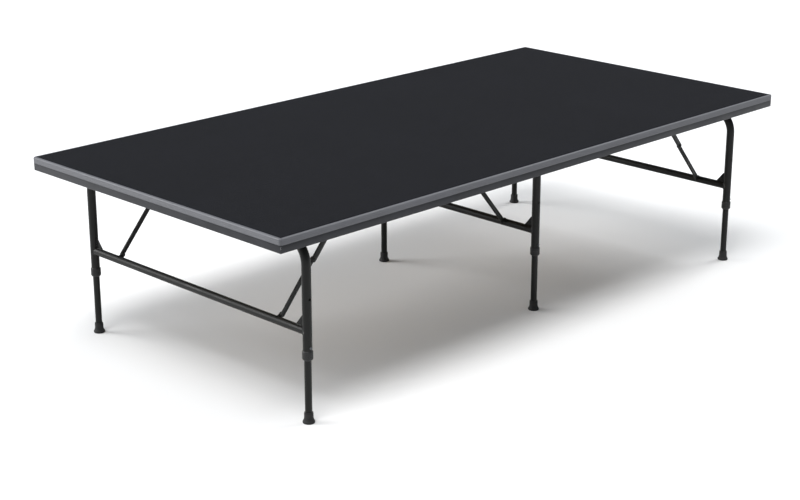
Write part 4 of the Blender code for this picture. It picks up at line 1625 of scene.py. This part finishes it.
def make_clip_spring():
    """The clip's back leaf, bent over at the top to meet the leaf with the button."""
    low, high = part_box(f"snap_clip_{MODEL.name}_near")
    axis_y = MODEL_SIGN * MODEL.leg_y
    front, back = clip_leaves()
    top = high.z - CLIP_STRIP / 2
    shoulder = top - CLIP_SHOULDER
    meeting = lock_height(MODEL.name) + CLIP_LEAF_TOP + CLIP_STRIP
    spring = add(
        bpy.ops.mesh.primitive_plane_add,
        "spring",
        size=1,
        location=(MODEL.x, axis_y + back, (low.z + shoulder) / 2),
        rotation=(radians(90), 0, 0),
        scale=(high.x - low.x, shoulder - low.z, 1),
    )
    with editing(spring):
        pick("EDGE", lambda e: near(middle(e).z, shoulder))
        extrude((0, (front - back) * CLIP_PEAK, top - shoulder))
        extrude((0, (front - back) * (1 - CLIP_PEAK), meeting - top))
        pick("EDGE", lambda e: len(e.link_faces) == 2)
        bevel(0.0015, 3)
        face_outwards()
    thicken(spring, CLIP_STRIP)
    break_edges(spring, CLIP_BREAK, 1, 50)
    return spring


# ---------------------------------------------------------------- folding braces
def make_link(name, pivot, knee, radius, layer, sizes):
    """A flat bar bored at its pivot, with broken edges."""
    y_low, y_high = model_span(layer)
    link = round_bar(name, pivot, knee, radius, y_low, y_high)
    drill = turned("drill", [(PIN_RADIUS + GAP, 0), (PIN_RADIUS + GAP, 0.02)], 32)
    move_mesh(drill, along_y(pivot[0], (y_low + y_high) / 2 - 0.01, pivot[1]))
    cut(link, drill)
    break_edges(link, sizes.steel_edge * 1.3, 2, 50)
    return link


def make_knee_rivet():
    """A domed rivet head along +Z, seated at the origin."""
    return turned(
        "knee_rivet",
        [
            (0.0062, -0.0004),
            (0.0080, 0.0),
            (0.0080, 0.0006),
            (0.0066, 0.0010),
            (0.0058, 0.0020),
            (0.0040, 0.0028),
            (0.0016, 0.0031),
        ],
        28,
    )


# ---------------------------------------------------------------- operators
class RISER_OT_finishes(bpy.types.Operator):
    """Make the shared shader groups and every finish."""

    bl_idname = "riser.finishes"
    bl_label = "Finishes"

    def execute(self, context):
        colours = context.scene.riser_colours
        make_edge_wear_group()
        make_coat_grain_group()
        make_scuff_group()
        make_dust_group()
        make_pile_group()
        make_wood_group()
        upright = (380.0, 380.0, 9.0)
        across = (380.0, 9.0, 380.0)
        steel = {
            "tube_powder": (tuple(colours.tube), 0.42, upright, 0.35, 0.035),
            "bar_powder": (tuple(colours.tube), 0.42, across, 0.35, 0.045),
            "lower_leg_powder": (tuple(colours.tube), 0.38, upright, 0.8, 0.030),
            "brace_enamel": (tuple(colours.brace), 0.44, (260.0, 260.0, 120.0), 0.5, 0.035),
            # Painted shade: the channel's dark grey stands in for the shade on the lower half of
            # the deck edge; its scuffs and dust are real wear.
            "channel_paint": (tuple(colours.channel), 0.48, (6.0, 6.0, 420.0), 0.30, 0.020),
            "rail_paint": (tuple(colours.rail), 0.44, across, 0.30, 0.030),
            "weld_black": (scaled(colours.tube, 1.3), 0.48, (90.0, 90.0, 90.0), 0.2, 0.050),
            "rivet_black": (scaled(colours.tube, 1.2), 0.34, (500.0, 500.0, 500.0), 0.6, 0.030),
        }
        for name, (colour, roughness, along, scuffs, dust) in steel.items():
            make_coated_steel(name, colour, colours, roughness, along, scuffs, dust)
        make_carpet_finish(tuple(colours.carpet))
        make_band_finish(tuple(colours.band))
        make_plywood_finish(tuple(colours.plywood))
        dust = tuple(colours.dust)
        make_moulded_finish("bush_nylon", tuple(colours.plastic), 0.46, 0.0006, 0.00006, 0.03, dust)
        make_moulded_finish("cap_rubber", tuple(colours.rubber), 0.70, 0.0008, 0.00010, 0.05, dust)
        make_plated_finish("zinc_plate", tuple(colours.zinc), 0.30)
        make_plated_finish("spring_steel", tuple(colours.spring), 0.36)
        make_floor_finish()
        return {"FINISHED"}


class RISER_OT_carpet(bpy.types.Operator):
    """Lay the carpet on the deck panel and finish the panel."""

    bl_idname = "riser.carpet"
    bl_label = "Carpet and panel"

    def execute(self, context):
        make_carpet(context.scene.riser_sizes)
        panel = frame["nodes"]["deck_panel"]
        panel.data.materials.clear()
        panel.data.materials.append(bpy.data.materials["birch_plywood"])
        return {"FINISHED"}


class RISER_OT_deck_edge(bpy.types.Operator):
    """Model the edge band, the channel under it and the channel's screws."""

    bl_idname = "riser.deck_edge"
    bl_label = "Deck edge"

    def execute(self, context):
        make_deck_edge(context.scene.riser_sizes)
        return {"FINISHED"}


class RISER_OT_under_rails(bpy.types.Operator):
    """Model the rails under the deck with their saddles, brackets and fixings."""

    bl_idname = "riser.under_rails"
    bl_label = "Rails under the deck"

    def execute(self, context):
        sizes = context.scene.riser_sizes
        make_hinge_rails(sizes)
        make_brace_rails(sizes)
        return {"FINISHED"}


class RISER_OT_bent_tubes(bpy.types.Operator):
    """Model the three bent upper tubes."""

    bl_idname = "riser.bent_tubes"
    bl_label = "Bent tubes"

    def execute(self, context):
        for place in FRAMES:
            tube = make_bent_tube(place, context.scene.riser_sizes)
            finish_piece(
                tube,
                f"bent_tube_{place.name}",
                TUBE_BODY.format(frame=place.name),
                "tube_powder",
                [f"leg_tube_{place.name}"],
            )
        return {"FINISHED"}


class RISER_OT_crossbars(bpy.types.Operator):
    """Model the crossbars with their gussets, lugs, pins and welds."""

    bl_idname = "riser.crossbars"
    bl_label = "Crossbars"

    def execute(self, context):
        sizes = context.scene.riser_sizes
        for place in FRAMES:
            body = TUBE_BODY.format(frame=place.name)
            bar = make_cross_tube(place, sizes)
            node_name = f"crossbar_{place.name}"
            label = f"cross_tube_{place.name}"
            finish_piece(bar, label, body, "bar_powder", [node_name])
            rings = [
                make_ring_bead(
                    "ring_weld",
                    place.bar_radius,
                    sizes.weld_radius,
                    sign,
                    place.tube_radius,
                    place.x,
                    sign * place.leg_y,
                    place.bar_z,
                )
                for _, sign in SIDES
            ]
            label = f"cross_welds_{place.name}"
            finish_piece(joined(rings, "welds"), label, body, "weld_black")
        gusset, gusset_welds = make_gusset(sizes)
        lug, lug_welds = make_bar_lug(sizes)
        y_low, y_high = model_span(BAR_LUG)
        pin = make_pin(y_high - y_low + LINK_PIN_REACH)
        foot = MODEL.foot_pivot
        flip = Matrix.Rotation(radians(90), 4, "X")
        move_mesh(pin, Matrix.Translation((foot.x, y_high, foot.z)) @ flip)
        for obj, label, reference, material in (
            (gusset, "gusset", "leg_y", "bar_powder"),
            (gusset_welds, "gusset_weld", "leg_y", "weld_black"),
            (lug, "bar_lug", "brace_y", "bar_powder"),
            (lug_welds, "lug_weld", "brace_y", "weld_black"),
            (pin, "foot_pin", "brace_y", "rivet_black"),
        ):
            repeat_on_sides(obj, label, reference, TUBE_BODY, material)
        return {"FINISHED"}


class RISER_OT_lower_legs(bpy.types.Operator):
    """Model the bushes, the lower legs, their foot caps and their lock clips."""

    bl_idname = "riser.lower_legs"
    bl_label = "Lower legs"

    def execute(self, context):
        sizes = context.scene.riser_sizes
        bush, tube, cap = make_bush(), make_lower_tube(sizes), make_foot_cap()
        button, spring = make_lock_button(), make_clip_spring()
        for obj, label, body, material, slot, replaced in (
            (bush, "leg_bush", TUBE_BODY, "bush_nylon", "black_plastic", "collar"),
            (tube, "lower_tube", LOWER_LEG_BODY, "lower_leg_powder", "black_steel", "inner_leg"),
            (cap, "foot_cap", LOWER_LEG_BODY, "cap_rubber", "rubber", "foot"),
            (button, "lock_button", BUTTON_BODY, "spring_steel", "bright_steel", "snap_clip"),
            (spring, "clip_spring", LOWER_LEG_BODY, "spring_steel", "bright_steel", None),
        ):
            nodes = replaced + "_{frame}_{side}" if replaced else ""
            repeat_on_sides(obj, label, "leg_y", body, material, nodes)
        return {"FINISHED"}


class RISER_OT_braces(bpy.types.Operator):
    """Model the folding braces and the rivets at their knees."""

    bl_idname = "riser.braces"
    bl_label = "Folding braces"

    def execute(self, context):
        sizes = context.scene.riser_sizes
        foot = (MODEL.foot_pivot.x, MODEL.foot_pivot.z)
        head = (MODEL.head_pivot.x, MODEL.head_pivot.z)
        knee = ((foot[0] + head[0]) / 2, (foot[1] + head[1]) / 2)
        for label, pivot, radius, layer in (
            ("lower", foot, LOWER_LINK_RADIUS, LOWER_LINK),
            ("upper", head, UPPER_LINK_RADIUS, UPPER_LINK),
        ):
            body = label + "_braces_{frame}"
            link = make_link("link", pivot, knee, radius, layer, sizes)
            nodes = "brace_" + label + "_{frame}_{side}"
            name = f"{label}_link"
            repeat_on_sides(link, name, "brace_y", body, "brace_enamel", nodes)
            rivet = make_knee_rivet()
            y_low, y_high = model_span(layer)
            outside = y_low if layer == UPPER_LINK else y_high
            turn = Matrix.Rotation(radians(RIVET_TURN[label]), 4, "X")
            move_mesh(rivet, Matrix.Translation((knee[0], outside, knee[1])) @ turn)
            name = f"knee_rivet_{label}"
            repeat_on_sides(rivet, name, "brace_y", body, "rivet_black")
        return {"FINISHED"}


class RISER_OT_studio(bpy.types.Operator):
    """Set the pale floor, the soft light and the camera."""

    bl_idname = "riser.studio"
    bl_label = "Studio"

    def execute(self, context):
        studio = context.scene.riser_studio
        floor = add(
            bpy.ops.mesh.primitive_plane_add,
            "studio_floor",
            size=FLOOR_SIZE,
            location=(0, 0, -FLOOR_GAP),
        )
        floor.data.materials.append(bpy.data.materials["studio_floor"])
        world = bpy.data.worlds.new("studio_surroundings")
        world.use_nodes = True
        tree = world.node_tree
        sky = tree.nodes["Background"]
        sky.inputs["Color"].default_value = SKY_COLOUR
        backdrop = node(tree, "ShaderNodeLightPath").outputs["Is Camera Ray"]
        level = ramp(tree, backdrop, 0, 1, studio.sky_strength, BACKDROP_STRENGTH)
        tree.links.new(level, sky.inputs["Strength"])
        context.scene.world = world
        for name, source, strength, spread in (
            ("key_left", KEY_LEFT, studio.key_strength, KEY_SPREAD),
            ("key_middle", KEY_MIDDLE, studio.key_strength, KEY_SPREAD),
            ("key_right", KEY_RIGHT, studio.key_strength, KEY_SPREAD),
            ("side_light", SIDE, studio.side_strength, SIDE_SPREAD),
        ):
            turn = Vector(source).to_track_quat("Z", "Y").to_euler()
            place = Vector(source) * LIGHT_DISTANCE
            bpy.ops.object.light_add(type="SUN", location=place, rotation=turn)
            light = context.active_object
            light.name = name
            light.data.energy = strength
            light.data.angle = radians(spread)
        turn = Euler((pi / 2 - studio.pitch, 0, studio.heading - pi / 2))
        away = turn.to_matrix() @ Vector((0, 0, studio.distance))
        bpy.ops.object.camera_add(location=Vector(studio.target) + away, rotation=turn)
        camera = context.active_object
        camera.name = "studio_camera"
        camera.data.lens = studio.lens
        camera.data.clip_end = 100
        context.scene.camera = camera
        context.scene.view_settings.view_transform = "Standard"
        return {"FINISHED"}


class RISER_PT_pieces(bpy.types.Panel):
    """The riser's pieces, in the order in which they are made."""

    bl_idname = "RISER_PT_pieces"
    bl_label = "Stage riser"
    bl_space_type = "VIEW_3D"
    bl_region_type = "UI"
    bl_category = "Riser"

    def draw(self, context):
        layout = self.layout
        for operator in PIECE_OPERATORS:
            layout.operator(operator.bl_idname)
        for settings in (
            context.scene.riser_sizes,
            context.scene.riser_colours,
            context.scene.riser_studio,
        ):
            box = layout.box()
            for key in settings.__annotations__:
                box.prop(settings, key)


SETTINGS = (
    ("riser_sizes", RiserSizes),
    ("riser_colours", RiserColours),
    ("riser_studio", RiserStudio),
)
PIECE_OPERATORS = (
    RISER_OT_finishes,
    RISER_OT_carpet,
    RISER_OT_deck_edge,
    RISER_OT_under_rails,
    RISER_OT_bent_tubes,
    RISER_OT_crossbars,
    RISER_OT_lower_legs,
    RISER_OT_braces,
    RISER_OT_studio,
)


def register():
    for name, settings in SETTINGS:
        bpy.utils.register_class(settings)
        setattr(bpy.types.Scene, name, PointerProperty(type=settings))
    for operator in PIECE_OPERATORS:
        bpy.utils.register_class(operator)
    bpy.utils.register_class(RISER_PT_pieces)


def unregister():
    bpy.utils.unregister_class(RISER_PT_pieces)
    for operator in reversed(PIECE_OPERATORS):
        bpy.utils.unregister_class(operator)
    for name, settings in reversed(SETTINGS):
        delattr(bpy.types.Scene, name)
        bpy.utils.unregister_class(settings)


def main():
    register()
    bpy.ops.riser.finishes()
    bpy.ops.riser.carpet()
    bpy.ops.riser.deck_edge()
    bpy.ops.riser.under_rails()
    bpy.ops.riser.bent_tubes()
    bpy.ops.riser.crossbars()
    bpy.ops.riser.lower_legs()
    bpy.ops.riser.braces()
    bpy.ops.riser.studio()


if __name__ == "__main__":
    main()
